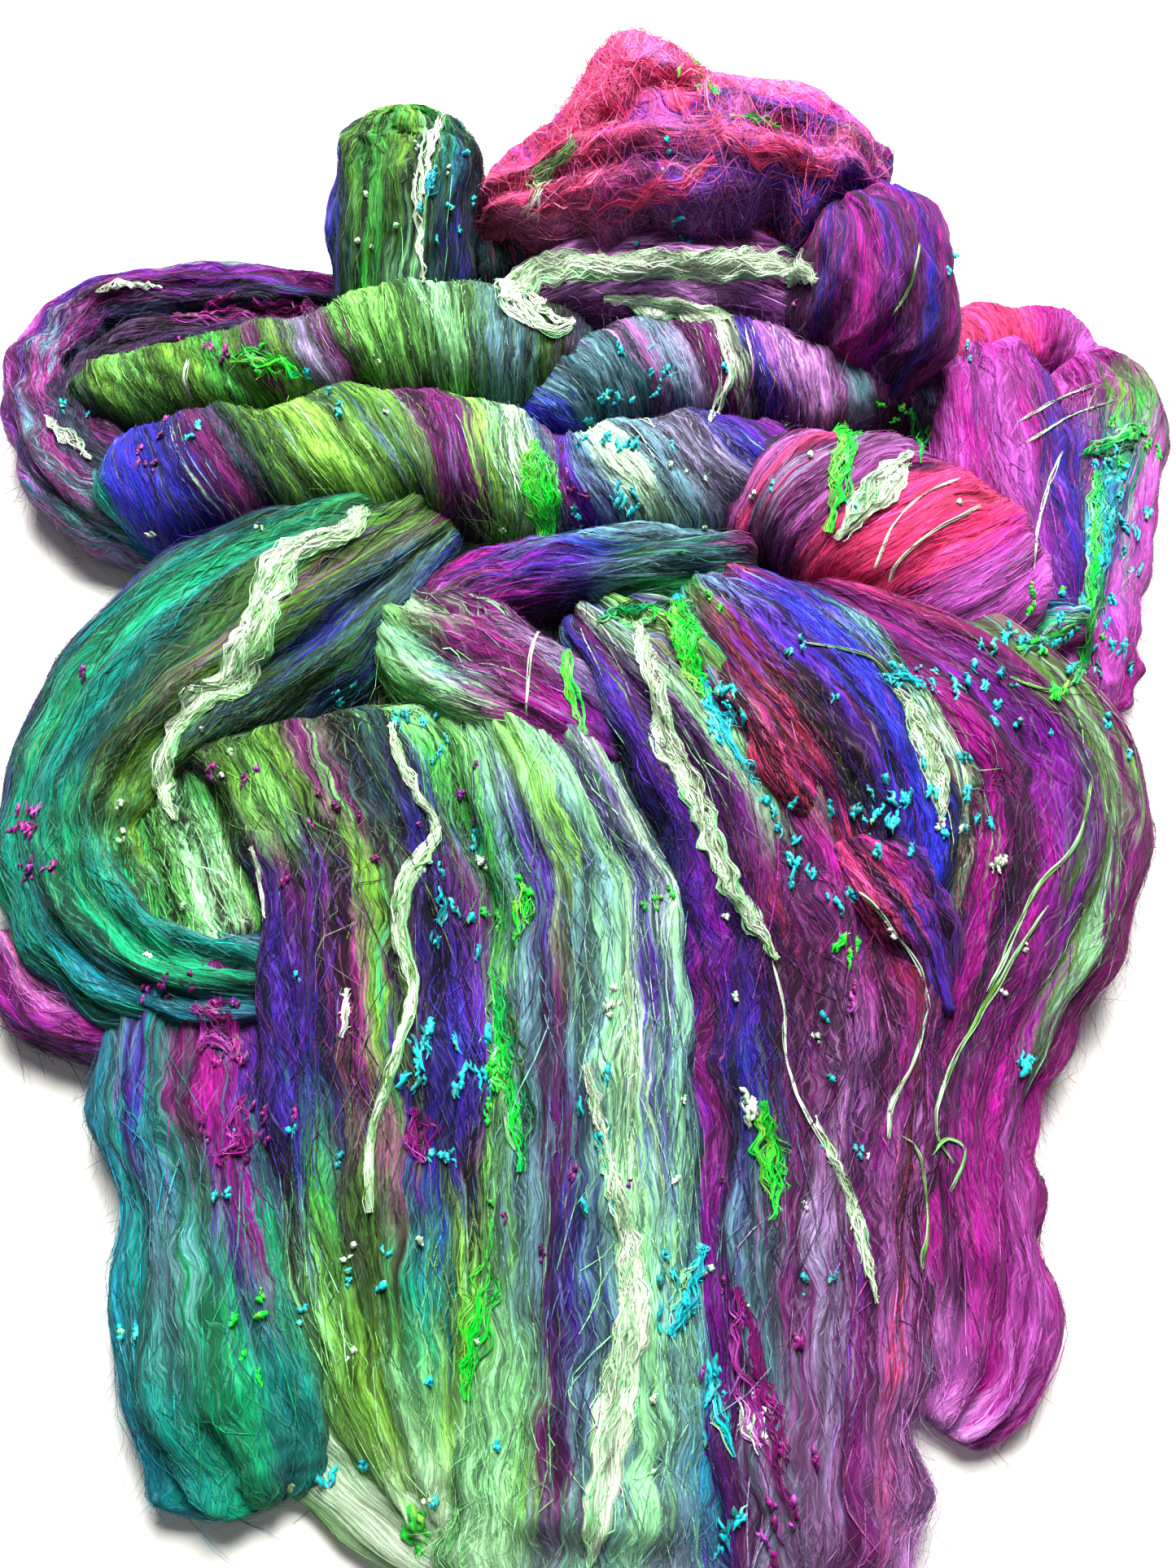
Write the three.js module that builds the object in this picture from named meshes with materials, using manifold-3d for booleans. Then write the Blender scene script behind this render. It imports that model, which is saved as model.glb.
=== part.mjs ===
// A carded wool batt: one soft web of blended fibre, tumbled in thick folds at the back and
// spread out flat towards the front, with strips of silk laid on it. Millimetres, +Z up,
// +X to the right and +Y to the back, with the origin on the resting face under the middle.
import * as THREE from "three";
import { mergeVertices } from "three/addons/utils/BufferGeometryUtils.js";
import Module from "manifold-3d";

// Where the folds are looked at from, so that a fold can be placed by where it is seen.
const EYE_HEIGHT = 385;
const EYE_SETBACK = 205;
const FRAME_WIDTH_PX = 1445;
const FRAME_HEIGHT_PX = 1927;
const FOCAL_PX = 1447;
const VIEW_TILT = Math.atan2(EYE_HEIGHT, EYE_SETBACK);
const EYE = new THREE.Vector3(0, -EYE_SETBACK, EYE_HEIGHT);

// The point of the table, as the folds are drafted, that becomes the origin.
const MIDDLE_X = -3.4;
const MIDDLE_Y = 3.6;

// How finely each fold is built. More of its sides go over the top than under it.
const STEPS_PER_ROW = 2;
const ROLL_SIDES = 10;
const PLEATED_SIDES = 13;
const WEB_SIDES = 16;
const TOP_SHARE = 0.75;
const SQUARENESS = 0.85;
const END_ROUND = 0.5;
const SPINE_STEP = 0.05;

// How far a pleat wanders across its fold, and a wave over its roll, in turns of its ripple,
// and how fast the pleats wander, in radians from end to end.
const PLEAT_WANDER = 0.35;
const WAVE_WANDER = 0.12;
const WANDER_RATE = 5;

// Silk strips lie just clear of the wool and sink into its hollows.
const SILK_CLEARANCE = 0.6;
const SILK_HALF_THICKNESS = 1.8;
const SILK_LIFT = 1.4;
const SILK_SIDES = 8;
const SILK_TOP_SHARE = 0.5;
const SILK_STEPS_PER_ROW = 2;

const FACE_TOLERANCE = 1.2;
const SILK_TOLERANCE = 0.12;
const MERGING_DISTANCE = 0.01;
const TABLE_SPAN = 900;
const TABLE_DEPTH = 120;

const WOOL = { color: 0x6a3a72, roughness: 0.9, metalness: 0 };
const SILK = { color: 0xcfe8cc, roughness: 0.5, metalness: 0 };

// A fold is a row for each section. px and py say where the middle of the section is seen, or
// x and y where it lies if it is hidden. z is the height of that middle, half is half the
// section's width and rise is half its height. turn is the bearing of its width, in degrees.
const SEEN = ["px", "py", "z", "half", "rise", "turn"];
const HIDDEN = ["x", "y", "z", "half", "rise", "turn"];
const STRIP = ["px", "py", "half"];

const table = (columns, rows) => rows.map((values) => (
  Object.fromEntries(columns.map((column, i) => [column, values[i]]))
));

// The wool runs along a fold, or over it as on a roll. Ridges is how many soft pleats or waves
// the fold has, and relief is how deep they are.
const FOLDS = [
  {
    name: "bed", wool: "along", steps: 1, sides: PLEATED_SIDES, ridges: 4, relief: 0.8,
    rows: table(SEEN, [
      [740, 395, 10, 90, 12, 0], [735, 450, 11.5, 160, 14, 0], [725, 540, 11.5, 188, 14, 0],
      [720, 640, 11.5, 180, 14, 0], [740, 740, 10.5, 160, 13, 0], [705, 850, 10.5, 165, 12.5, 0],
      [695, 980, 9, 160, 11, 0], [690, 1110, 8, 150, 10, 0], [690, 1250, 7.2, 138, 9, 0],
      [700, 1400, 6.4, 130, 8, 0], [710, 1550, 5.5, 128, 7, 0], [712, 1650, 5.5, 122, 7, 0],
      [690, 1740, 5, 102, 6.5, 0], [700, 1820, 4.7, 82, 6, 0], [760, 1920, 4.3, 66, 5.5, 0],
      [800, 2005, 3, 44, 4, 0],
    ]),
  },
  {
    name: "loop_left", wool: "along", sides: PLEATED_SIDES, ridges: 3, relief: 1.4,
    rows: table(SEEN, [
      [430, 385, 34, 10, 12], [330, 380, 28, 13, 16], [230, 386, 22, 15, 18], [140, 398, 18, 15, 18],
      [86, 436, 16, 14, 18], [60, 492, 15, 14, 18], [64, 552, 14, 14, 17], [100, 612, 13, 15, 16],
      [165, 655, 12, 16, 15], [240, 675, 11, 14, 13],
    ]),
  },
  {
    name: "loop_left_inner", wool: "along", sides: ROLL_SIDES, ridges: 2, relief: 1,
    rows: table(SEEN, [
      [420, 440, 24, 10, 14], [300, 435, 22, 12, 15], [180, 450, 19, 13, 15], [118, 500, 16, 12, 15],
      [122, 560, 15, 13, 15], [190, 610, 14, 14, 14],
    ]),
  },
  {
    name: "loop_green", wool: "along", sides: PLEATED_SIDES, ridges: 3, relief: 1.4,
    rows: table(SEEN, [
      [500, 136, 98, 10, 4, 0], [500, 150, 95, 21, 8, 0], [501, 176, 89, 27, 13, 0],
      [500, 225, 79, 29, 17, 0], [496, 290, 68, 29, 18, 0], [491, 350, 56, 28, 17, 0],
      [490, 400, 44, 26, 14, 0],
    ]),
  },
  {
    name: "loop_green_back", wool: "along", sides: ROLL_SIDES, ridges: 3, relief: 1.4,
    rows: table(HIDDEN, [
      [-72, 228, 88, 17, 8, 0], [-72, 242, 83, 25, 12, 0], [-72, 253, 66, 28, 15, 0],
      [-72, 254, 44, 29, 16, 0], [-73, 246, 24, 27, 14, 0], [-75, 228, 15, 22, 11, 0],
    ]),
  },
  {
    name: "back_low", wool: "over", sides: ROLL_SIDES, ridges: 4, relief: 1.4,
    rows: table(HIDDEN, [
      [-112, 196, 13, 14, 17], [-70, 215, 16, 26, 20], [-20, 224, 20, 29, 24], [35, 230, 22, 33, 26],
      [85, 224, 22, 33, 26], [128, 202, 19, 28, 23], [160, 180, 13, 15, 16],
    ]),
  },
  {
    name: "back_high", wool: "over", sides: ROLL_SIDES, ridges: 3, relief: 1.4,
    rows: table(HIDDEN, [
      [-40, 218, 50, 15, 14], [8, 227, 55, 25, 20], [58, 231, 57, 28, 22], [102, 218, 54, 26, 21],
      [126, 194, 46, 16, 16],
    ]),
  },
  {
    name: "roll_top_left", wool: "over", steps: 1, sides: ROLL_SIDES, ridges: 4, relief: 1.4,
    rows: table(SEEN, [
      [120, 498, 22, 10, 14], [200, 487, 29, 17, 19], [300, 475, 35, 19, 21], [400, 460, 41, 21, 23],
      [480, 442, 45, 25, 26], [565, 440, 46, 27, 27], [650, 455, 44, 25, 25], [725, 480, 40, 18, 20],
    ]),
  },
  {
    name: "roll_top_mid", wool: "over", steps: 1, sides: ROLL_SIDES, ridges: 4, relief: 1.4,
    rows: table(SEEN, [
      [655, 528, 34, 9, 12], [705, 492, 42, 19, 20], [775, 475, 44, 22, 22], [855, 470, 44, 22, 22],
      [940, 474, 44, 21, 21], [1030, 488, 41, 18, 19], [1120, 506, 34, 11, 15],
    ]),
  },
  {
    name: "roll_main", wool: "over", steps: 1, sides: ROLL_SIDES, ridges: 6, relief: 1.6,
    rows: table(SEEN, [
      [158, 612, 23, 14, 16], [205, 607, 28, 26, 25], [270, 600, 31, 29, 27], [345, 588, 32, 26, 26],
      [440, 577, 35, 28, 28], [545, 578, 35, 28, 28], [635, 603, 33, 24, 26], [700, 617, 31, 22, 24],
      [780, 607, 35, 26, 27], [870, 602, 36, 26, 27], [945, 586, 34, 19, 22],
    ]),
  },
  {
    name: "roll_right", wool: "over", sides: ROLL_SIDES, ridges: 5, relief: 1.6,
    rows: table(SEEN, [
      [885, 645, 31, 15, 17], [950, 628, 37, 27, 25], [1030, 642, 39, 34, 28], [1110, 677, 39, 36, 28],
      [1180, 711, 37, 34, 26], [1240, 738, 31, 23, 20],
    ]),
  },
  {
    name: "ball_purple", wool: "along", sides: PLEATED_SIDES, ridges: 3, relief: 1.6,
    rows: table(SEEN, [
      [1050, 262, 84, 17, 11], [1066, 300, 79, 28, 20], [1070, 350, 69, 32, 26],
      [1068, 400, 58, 32, 27], [1062, 440, 49, 30, 24], [1055, 475, 42, 23, 18],
    ]),
  },
  {
    name: "cloud_pink", wool: "along", sides: PLEATED_SIDES, ridges: 4, relief: 2.6,
    rows: table(SEEN, [
      [606, 282, 58, 9, 9], [655, 258, 70, 21, 19], [740, 228, 80, 30, 25], [830, 210, 86, 32, 27],
      [920, 206, 86, 30, 25], [1000, 222, 82, 26, 23], [1058, 250, 76, 15, 16],
    ]),
  },
  {
    name: "cloud_tuft", wool: "along", sides: ROLL_SIDES, ridges: 2, relief: 1,
    rows: table(SEEN, [
      [712, 190, 90, 10, 10], [732, 128, 104, 12, 10], [775, 97, 111, 12, 9], [830, 106, 108, 10, 9],
      [880, 152, 96, 10, 10],
    ]),
  },
  {
    name: "shelf_plum", wool: "along", sides: ROLL_SIDES, ridges: 2, relief: 1.2,
    rows: table(SEEN, [
      [645, 385, 50, 10, 13], [720, 355, 58, 16, 17], [800, 345, 61, 18, 19], [880, 352, 60, 18, 19],
      [960, 372, 54, 13, 16], [1010, 385, 48, 8, 11],
    ]),
  },
  {
    name: "roll_rose", wool: "over", sides: ROLL_SIDES, ridges: 3, relief: 1.4,
    rows: table(SEEN, [
      [1085, 480, 28, 12, 17], [1150, 455, 24, 17, 20], [1215, 438, 20, 19, 20],
      [1280, 442, 18, 17, 19], [1335, 468, 15, 12, 15],
    ]),
  },
  {
    name: "fall_orchid", wool: "along", sides: PLEATED_SIDES, ridges: 3, relief: 1.6,
    rows: table(SEEN, [
      [1198, 462, 28, 20, 17], [1210, 500, 26, 26, 20], [1222, 580, 24, 29, 21],
      [1238, 660, 21, 28, 20], [1262, 735, 17, 24, 17], [1282, 790, 11, 17, 12],
    ]),
  },
  {
    name: "edge_right", wool: "along", sides: PLEATED_SIDES, ridges: 3, relief: 1.6,
    rows: table(SEEN, [
      [1322, 470, 20, 17, 16], [1348, 515, 16, 23, 18], [1350, 590, 15, 23, 18],
      [1336, 670, 14, 22, 17], [1326, 750, 12, 22, 15], [1328, 820, 10, 20, 12],
      [1336, 872, 5.5, 14, 7],
    ]),
  },
  {
    name: "curl_right", wool: "along", sides: ROLL_SIDES, ridges: 2, relief: 0.6,
    rows: table(SEEN, [
      [1322, 772, 27, 7, 8], [1272, 776, 28, 9, 9], [1238, 805, 26, 9, 9], [1225, 845, 22, 8, 8],
    ]),
  },
  {
    name: "fold_violet", wool: "along", sides: ROLL_SIDES, ridges: 2, relief: 1.4,
    rows: table(SEEN, [
      [905, 702, 34, 12, 14], [810, 706, 37, 14, 16], [700, 716, 37, 15, 16], [610, 730, 35, 14, 15],
      [540, 752, 31, 9, 11],
    ]),
  },
  {
    name: "fold_magenta", wool: "along", sides: PLEATED_SIDES, ridges: 3, relief: 1.4,
    rows: table(SEEN, [
      [490, 768, 28, 14, 13], [550, 812, 32, 25, 17], [620, 848, 35, 26, 18], [695, 888, 36, 19, 16],
      [750, 930, 33, 12, 12],
    ]),
  },
  {
    name: "swath_left", wool: "along", sides: WEB_SIDES, ridges: 5, relief: 2,
    rows: table(SEEN, [
      [520, 655, 26, 22, 18], [440, 705, 28, 36, 22], [335, 775, 26, 47, 25], [225, 860, 22, 45, 25],
      [145, 955, 18, 36, 22], [112, 1045, 16, 30, 19], [135, 1125, 15, 28, 18], [205, 1190, 15, 24, 17],
      [300, 1218, 14, 20, 16], [390, 1222, 13, 14, 13],
    ]),
  },
  {
    name: "cup_green", wool: "along", sides: PLEATED_SIDES, ridges: 3, relief: 1.2,
    rows: table(SEEN, [
      [215, 930, 18, 16, 14], [235, 1000, 18, 28, 16], [258, 1080, 17, 31, 16], [285, 1160, 15, 28, 14],
    ]),
  },
  {
    name: "tongue_pink", wool: "along", sides: ROLL_SIDES, ridges: 2, relief: 0.8,
    rows: table(SEEN, [
      [10, 1165, 6.5, 7, 8], [52, 1228, 8.5, 11, 10], [125, 1268, 8.5, 12, 10],
      [210, 1272, 8.5, 12, 10], [300, 1255, 8, 10, 9],
    ]),
  },
  {
    name: "web_teal", wool: "along", steps: 1, sides: PLEATED_SIDES, ridges: 4, relief: 1.6,
    rows: table(SEEN, [
      [250, 1210, 13, 29, 15], [246, 1310, 12, 31, 14], [252, 1400, 11, 29, 13],
      [266, 1500, 10, 28, 12], [277, 1610, 10, 30, 12], [300, 1710, 9, 32, 11], [322, 1785, 6.5, 28, 8],
      [335, 1835, 4, 18, 5],
    ]),
  },
  {
    name: "web_green", wool: "along", steps: 1, sides: WEB_SIDES, ridges: 4, relief: 2.2,
    rows: table(SEEN, [
      [400, 915, 31, 46, 15, 12], [438, 990, 30, 44, 18, 10], [466, 1072, 25, 42, 19, 4],
      [476, 1180, 21, 42, 19, 0], [482, 1290, 18, 41, 18, 0], [488, 1400, 16, 39, 16, 0],
      [494, 1520, 14, 36, 14, 0], [502, 1640, 12, 31, 12, 0], [518, 1740, 10, 24, 10, 0],
      [532, 1825, 7, 17, 7, 0], [545, 1880, 4, 9, 4, 0],
    ]),
  },
  {
    name: "web_mint", wool: "along", steps: 1, sides: WEB_SIDES, ridges: 3, relief: 2.2,
    rows: table(SEEN, [
      [640, 900, 34, 26, 13, 0], [685, 1000, 33, 29, 20, 0], [722, 1100, 26, 34, 20, 0],
      [728, 1250, 20, 35, 19, 0], [725, 1400, 17, 35, 17, 0], [725, 1550, 15, 36, 15, 0],
      [728, 1700, 13, 37, 13, 0], [725, 1830, 11, 38, 11, 0], [722, 1930, 8, 36, 8, 0],
      [722, 2040, 4, 24, 4, 0],
    ]),
  },
  {
    name: "web_plum", wool: "along", steps: 1, sides: WEB_SIDES, ridges: 4, relief: 2.2,
    rows: table(SEEN, [
      [730, 768, 33, 14, 12], [800, 830, 37, 28, 18], [870, 910, 37, 34, 21], [930, 1000, 33, 38, 22],
      [968, 1100, 27, 41, 21], [990, 1200, 22, 43, 20], [995, 1310, 18, 41, 18],
      [988, 1430, 16, 38, 16], [985, 1560, 14, 36, 14], [985, 1700, 12, 34, 12],
      [985, 1830, 10, 31, 10], [985, 1930, 8, 27, 8], [975, 2035, 4, 16, 4],
    ]),
  },
  {
    name: "fan_indigo", wool: "along", sides: PLEATED_SIDES, ridges: 3, relief: 1.8,
    rows: table(SEEN, [
      [872, 742, 35, 18, 13], [940, 815, 42, 32, 20], [1008, 895, 42, 36, 23], [1058, 975, 37, 36, 23],
      [1085, 1060, 30, 31, 20], [1095, 1140, 23, 20, 14],
    ]),
  },
  {
    name: "fan_magenta", wool: "along", steps: 1, sides: WEB_SIDES, ridges: 4, relief: 2.2,
    rows: table(SEEN, [
      [985, 752, 33, 18, 12], [1080, 812, 35, 33, 20], [1172, 885, 31, 41, 25], [1235, 970, 24, 44, 26],
      [1252, 1055, 21, 40, 24], [1238, 1145, 17, 34, 20], [1212, 1235, 14, 27, 16],
      [1185, 1325, 11, 23, 13], [1172, 1415, 10, 22, 12], [1182, 1505, 10, 23, 12],
      [1190, 1600, 8.5, 24, 10], [1178, 1690, 6, 21, 7], [1150, 1742, 3.5, 11, 4],
    ]),
  },
  {
    name: "flap_red", wool: "along", sides: ROLL_SIDES, ridges: 2, relief: 1,
    rows: table(SEEN, [
      [1045, 1035, 46, 9, 6], [1080, 1072, 45, 15, 8], [1108, 1112, 40, 15, 9], [1132, 1165, 32, 10, 9],
      [1150, 1232, 22, 5, 7],
    ]),
  },
];

// Each strip of silk is seen at px and py and is twice half wide.
const SILKS = [
  {
    name: "silk_swath",
    rows: table(STRIP, [
      [438, 622, 3], [428, 655, 4], [350, 680, 6], [322, 755, 7], [290, 830, 7], [250, 868, 6],
      [214, 910, 5], [200, 962, 5], [216, 1010, 3],
    ]),
  },
  {
    name: "silk_green",
    rows: table(STRIP, [
      [480, 892, 3], [520, 950, 3.5], [535, 1030, 4], [500, 1100, 4], [492, 1160, 5], [508, 1222, 4],
      [470, 1380, 3], [460, 1490, 3],
    ]),
  },
  {
    name: "silk_shelf_top",
    rows: table(STRIP, [
      [625, 372, 6], [660, 330, 6], [750, 326, 4], [830, 324, 4], [900, 322, 5], [1000, 338, 5],
    ]),
  },
  {
    name: "silk_shelf_front",
    rows: table(STRIP, [[742, 364, 3], [830, 376, 3], [918, 386, 3]]),
  },
  {
    name: "silk_crest",
    rows: table(STRIP, [
      [782, 768, 4], [812, 880, 3], [850, 980, 4], [900, 1070, 4], [938, 1150, 5], [968, 1200, 3],
    ]),
  },
  {
    name: "silk_mint",
    rows: table(STRIP, [
      [722, 1310, 3], [760, 1450, 4], [790, 1560, 5], [790, 1650, 5], [752, 1780, 6], [728, 1925, 5],
    ]),
  },
  {
    name: "silk_plum",
    rows: table(STRIP, [[1005, 1380, 2.5], [1060, 1480, 3], [1082, 1600, 2.5]]),
  },
  {
    name: "silk_roll",
    rows: table(STRIP, [[1118, 560, 6], [1080, 605, 7], [1032, 660, 4]]),
  },
  {
    name: "silk_fan",
    rows: table(STRIP, [[1098, 850, 3], [1136, 900, 4], [1158, 1010, 4]]),
  },
];

// The point at height z on the line of sight through a pixel.
function onSightLine(px, py, z) {
  const ray = sightRay(px, py);
  return EYE.clone().addScaledVector(ray, (z - EYE.z) / ray.z);
}

function sightRay(px, py) {
  const right = (px - FRAME_WIDTH_PX / 2) / FOCAL_PX;
  const up = (FRAME_HEIGHT_PX / 2 - py) / FOCAL_PX;
  return new THREE.Vector3(
    right,
    Math.cos(VIEW_TILT) + up * Math.sin(VIEW_TILT),
    -Math.sin(VIEW_TILT) + up * Math.cos(VIEW_TILT),
  );
}

const middleOf = (row) => (
  row.px === undefined ? new THREE.Vector3(row.x, row.y, row.z) : onSightLine(row.px, row.py, row.z)
);

// A smooth value between the rows of a table, passing through each of them.
function between(values, at) {
  const last = values.length - 1;
  const i = Math.min(Math.floor(at), last - 1);
  const f = at - i;
  const near = [Math.max(i - 1, 0), i, i + 1, Math.min(i + 2, last)];
  const [p0, p1, p2, p3] = near.map((k) => values[k]);
  const a = 2 * p1;
  const b = p2 - p0;
  const c = 2 * p0 - 5 * p1 + 4 * p2 - p3;
  const d = 3 * p1 - p0 - 3 * p2 + p3;
  return 0.5 * (a + b * f + c * f * f + d * f * f * f);
}

const betweenPoints = (points, at) => (
  new THREE.Vector3(...["x", "y", "z"].map((axis) => between(points.map((p) => p[axis]), at)))
);

// A section has a middle, its half width along across, and its half height along up.
function sectionsOf({ rows, steps = STEPS_PER_ROW }) {
  const last = rows.length - 1;
  const middles = rows.map(middleOf);
  const column = (name, at) => between(rows.map((row) => row[name]), at);
  const sections = [];
  let way = 0;
  for (let i = 0; i <= last * steps; i++) {
    const at = i / steps;
    const ahead = betweenPoints(middles, Math.min(at + SPINE_STEP, last));
    const along = ahead.sub(betweenPoints(middles, Math.max(at - SPINE_STEP, 0))).normalize();
    const across = new THREE.Vector3(along.y, -along.x, 0).normalize();
    if (rows[0].turn !== undefined) {
      const turn = THREE.MathUtils.degToRad(column("turn", at));
      across.set(Math.cos(turn), Math.sin(turn), 0);
      way ||= Math.sign(across.x * along.y - across.y * along.x);
      across.multiplyScalar(way);
    }
    const up = new THREE.Vector3().crossVectors(across, along).normalize();
    const middle = betweenPoints(middles, at);
    sections.push({ at: at / last, middle, across, up, half: column("half", at), rise: column("rise", at) });
  }
  return sections;
}

// How far the wool stands out or in at a place on a fold: pleats along it, or waves over it.
function reliefAt(fold, at, angle) {
  const alongFold = fold.wool === "along";
  const share = alongFold ? (1 - Math.cos(angle)) / 2 : at;
  const wander = alongFold
    ? PLEAT_WANDER * Math.sin(WANDER_RATE * at + fold.ridges)
    : WAVE_WANDER * Math.cos(angle);
  const ripple = Math.sin(2 * Math.PI * (fold.ridges * share + wander));
  return fold.relief * ripple * Math.max(Math.sin(angle), 0);
}

// The angles of a section's corners, with the given share of them over its top.
function cornerAngles(sides, topShare) {
  const over = Math.round(sides * topShare);
  const under = sides - over;
  const angles = [];
  for (let k = 0; k < over; k++) angles.push((Math.PI * k) / over);
  for (let k = 0; k < under; k++) angles.push(Math.PI + (Math.PI * k) / under);
  return angles;
}

const squared = (value) => Math.sign(value) * Math.abs(value) ** SQUARENESS;

// A closed solid through sections, with its ends drawn out to a rounded point.
function loft(sections, angles, relief) {
  const cap = (section, way) => {
    const along = new THREE.Vector3().crossVectors(section.up, section.across);
    return section.middle.clone().addScaledVector(along, way * END_ROUND * section.rise);
  };
  const last = sections.length - 1;
  const points = [cap(sections[0], -1)];
  for (const { at, middle, across, up, half, rise } of sections) {
    for (const angle of angles) {
      const out = relief(at, angle);
      const corner = middle.clone().addScaledVector(across, (half + out) * squared(Math.cos(angle)));
      points.push(corner.addScaledVector(up, (rise + out) * squared(Math.sin(angle))));
    }
  }
  points.push(cap(sections[last], 1));
  const n = angles.length;
  const faces = [];
  for (let k = 0; k < n; k++) {
    const next = (k + 1) % n;
    faces.push(0, 1 + next, 1 + k);
    for (let i = 0; i < last; i++) {
      const [a, b] = [1 + i * n + k, 1 + i * n + next];
      faces.push(a, b, b + n, a, b + n, a + n);
    }
    const ring = 1 + last * n;
    faces.push(points.length - 1, ring + k, ring + next);
  }
  return solidFrom(points.flatMap((p) => [p.x, p.y, p.z]), faces);
}

const foldSolid = (fold) => (
  loft(sectionsOf(fold), cornerAngles(fold.sides, TOP_SHARE), (at, angle) => reliefAt(fold, at, angle))
);

const wasm = await Module();
wasm.setup();

// A solid from corner numbers and faces, turned the right way out.
function solidFrom(corners, faces) {
  const make = (triVerts) => new wasm.Manifold(new wasm.Mesh({
    numProp: 3,
    vertProperties: new Float32Array(corners),
    triVerts: new Uint32Array(triVerts),
  }));
  const made = make(faces);
  if (made.volume() >= 0) return made;
  const turned = [];
  for (let i = 0; i < faces.length; i += 3) turned.push(faces[i], faces[i + 2], faces[i + 1]);
  return make(turned);
}

function geometryOf(solid) {
  const mesh = solid.getMesh();
  const geometry = new THREE.BufferGeometry();
  geometry.setAttribute("position", new THREE.BufferAttribute(mesh.vertProperties, 3));
  geometry.setIndex(new THREE.BufferAttribute(mesh.triVerts, 1));
  return geometry;
}

// Everything under the table's top.
function underTable() {
  const box = new THREE.BoxGeometry(TABLE_SPAN, TABLE_SPAN, TABLE_DEPTH).translate(0, 0, -TABLE_DEPTH / 2);
  box.deleteAttribute("normal");
  box.deleteAttribute("uv");
  const merged = mergeVertices(box);
  return solidFrom([...merged.attributes.position.array], [...merged.index.array]);
}

// The one body that is left once corners closer than the merging distance are one. Slivers that
// part from it, and sealed pockets between folds, are let go: the loose wool there touches.
function largestBody(solid, tolerance) {
  const merged = mergeVertices(geometryOf(solid.simplify(tolerance)), MERGING_DISTANCE);
  const bodies = solidFrom([...merged.attributes.position.array], [...merged.index.array]).decompose();
  return bodies.reduce((a, b) => (b.volume() > a.volume() ? b : a));
}

function battSolid() {
  const whole = FOLDS.map(foldSolid).reduce((sum, fold) => sum.add(fold));
  return largestBody(whole.subtract(underTable()), FACE_TOLERANCE);
}

// The sections of a silk strip: on the wool where it is seen, and level with the wool there.
function silkSections({ rows }, wool) {
  const caster = new THREE.Raycaster();
  const last = rows.length - 1;
  const column = (name, at) => between(rows.map((row) => row[name]), at);
  const hits = [];
  for (let i = 0; i <= last * SILK_STEPS_PER_ROW; i++) {
    const at = i / SILK_STEPS_PER_ROW;
    caster.set(EYE, sightRay(column("px", at), column("py", at)).normalize());
    const hit = caster.intersectObject(wool)[0];
    hits.push({ at: at / last, point: hit.point, normal: hit.face.normal, half: column("half", at) });
  }
  return hits.map(({ at, point, half }, i) => {
    const [before, after] = [hits[Math.max(i - 1, 0)], hits[Math.min(i + 1, hits.length - 1)]];
    const normal = before.normal.clone().add(after.normal).add(hits[i].normal).normalize();
    const along = after.point.clone().sub(before.point).normalize();
    const across = new THREE.Vector3().crossVectors(along, normal).normalize();
    const up = new THREE.Vector3().crossVectors(across, along).normalize();
    const middle = point.clone().addScaledVector(up, SILK_LIFT);
    return { at, middle, across, up, half, rise: SILK_HALF_THICKNESS };
  });
}

// A strip of silk, cut clear of the wool that it lies on.
function silkSolid(strip, wool, batt) {
  const angles = cornerAngles(SILK_SIDES, SILK_TOP_SHARE);
  let solid = loft(silkSections(strip, wool), angles, () => 0);
  for (const axis of [0, 1, 2]) {
    for (const way of axis === 2 ? [1] : [-1, 1]) {
      const shift = [0, 0, 0];
      shift[axis] = way * SILK_CLEARANCE;
      solid = solid.subtract(batt.translate(shift));
    }
  }
  return largestBody(solid, SILK_TOLERANCE);
}

const toOrigin = [-MIDDLE_X, -MIDDLE_Y, 0];

function meshOf(name, solid, looks) {
  const geometry = geometryOf(solid.translate(toOrigin));
  const mesh = new THREE.Mesh(geometry, new THREE.MeshStandardMaterial(looks));
  mesh.name = name;
  return mesh;
}

const batt = battSolid();
const wool = new THREE.Mesh(geometryOf(batt), new THREE.MeshBasicMaterial({ side: THREE.DoubleSide }));
const group = new THREE.Group();
group.add(meshOf("wool_batt", batt, WOOL));
for (const strip of SILKS) {
  group.add(meshOf(strip.name, silkSolid(strip, wool, batt), SILK));
}

export default group;
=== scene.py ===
"""A carded wool batt: a folded web of blended fibre, with silk strips, nepps, locks and threads.

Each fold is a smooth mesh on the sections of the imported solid. Its UV map follows the fibres: U runs
across them, from one colour of the blend to the next, and V runs along them in metres.
"""
import math
from collections import namedtuple

import bpy
import numpy as np
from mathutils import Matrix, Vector
from mathutils.bvhtree import BVHTree


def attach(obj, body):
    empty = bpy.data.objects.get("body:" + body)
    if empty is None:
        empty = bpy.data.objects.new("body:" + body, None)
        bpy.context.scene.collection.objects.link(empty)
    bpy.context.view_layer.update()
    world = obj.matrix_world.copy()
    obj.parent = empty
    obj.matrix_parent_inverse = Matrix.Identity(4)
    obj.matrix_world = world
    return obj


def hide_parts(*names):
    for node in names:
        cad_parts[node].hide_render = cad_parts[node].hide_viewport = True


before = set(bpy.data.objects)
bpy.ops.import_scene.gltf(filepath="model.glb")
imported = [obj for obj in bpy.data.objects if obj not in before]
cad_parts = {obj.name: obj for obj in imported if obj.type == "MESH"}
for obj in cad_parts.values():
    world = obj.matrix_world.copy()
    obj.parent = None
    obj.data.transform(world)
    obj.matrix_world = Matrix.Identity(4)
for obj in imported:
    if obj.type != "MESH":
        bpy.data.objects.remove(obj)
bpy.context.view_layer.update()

# Lengths are in millimetres here, and in metres in Blender.
MM = 0.001

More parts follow.
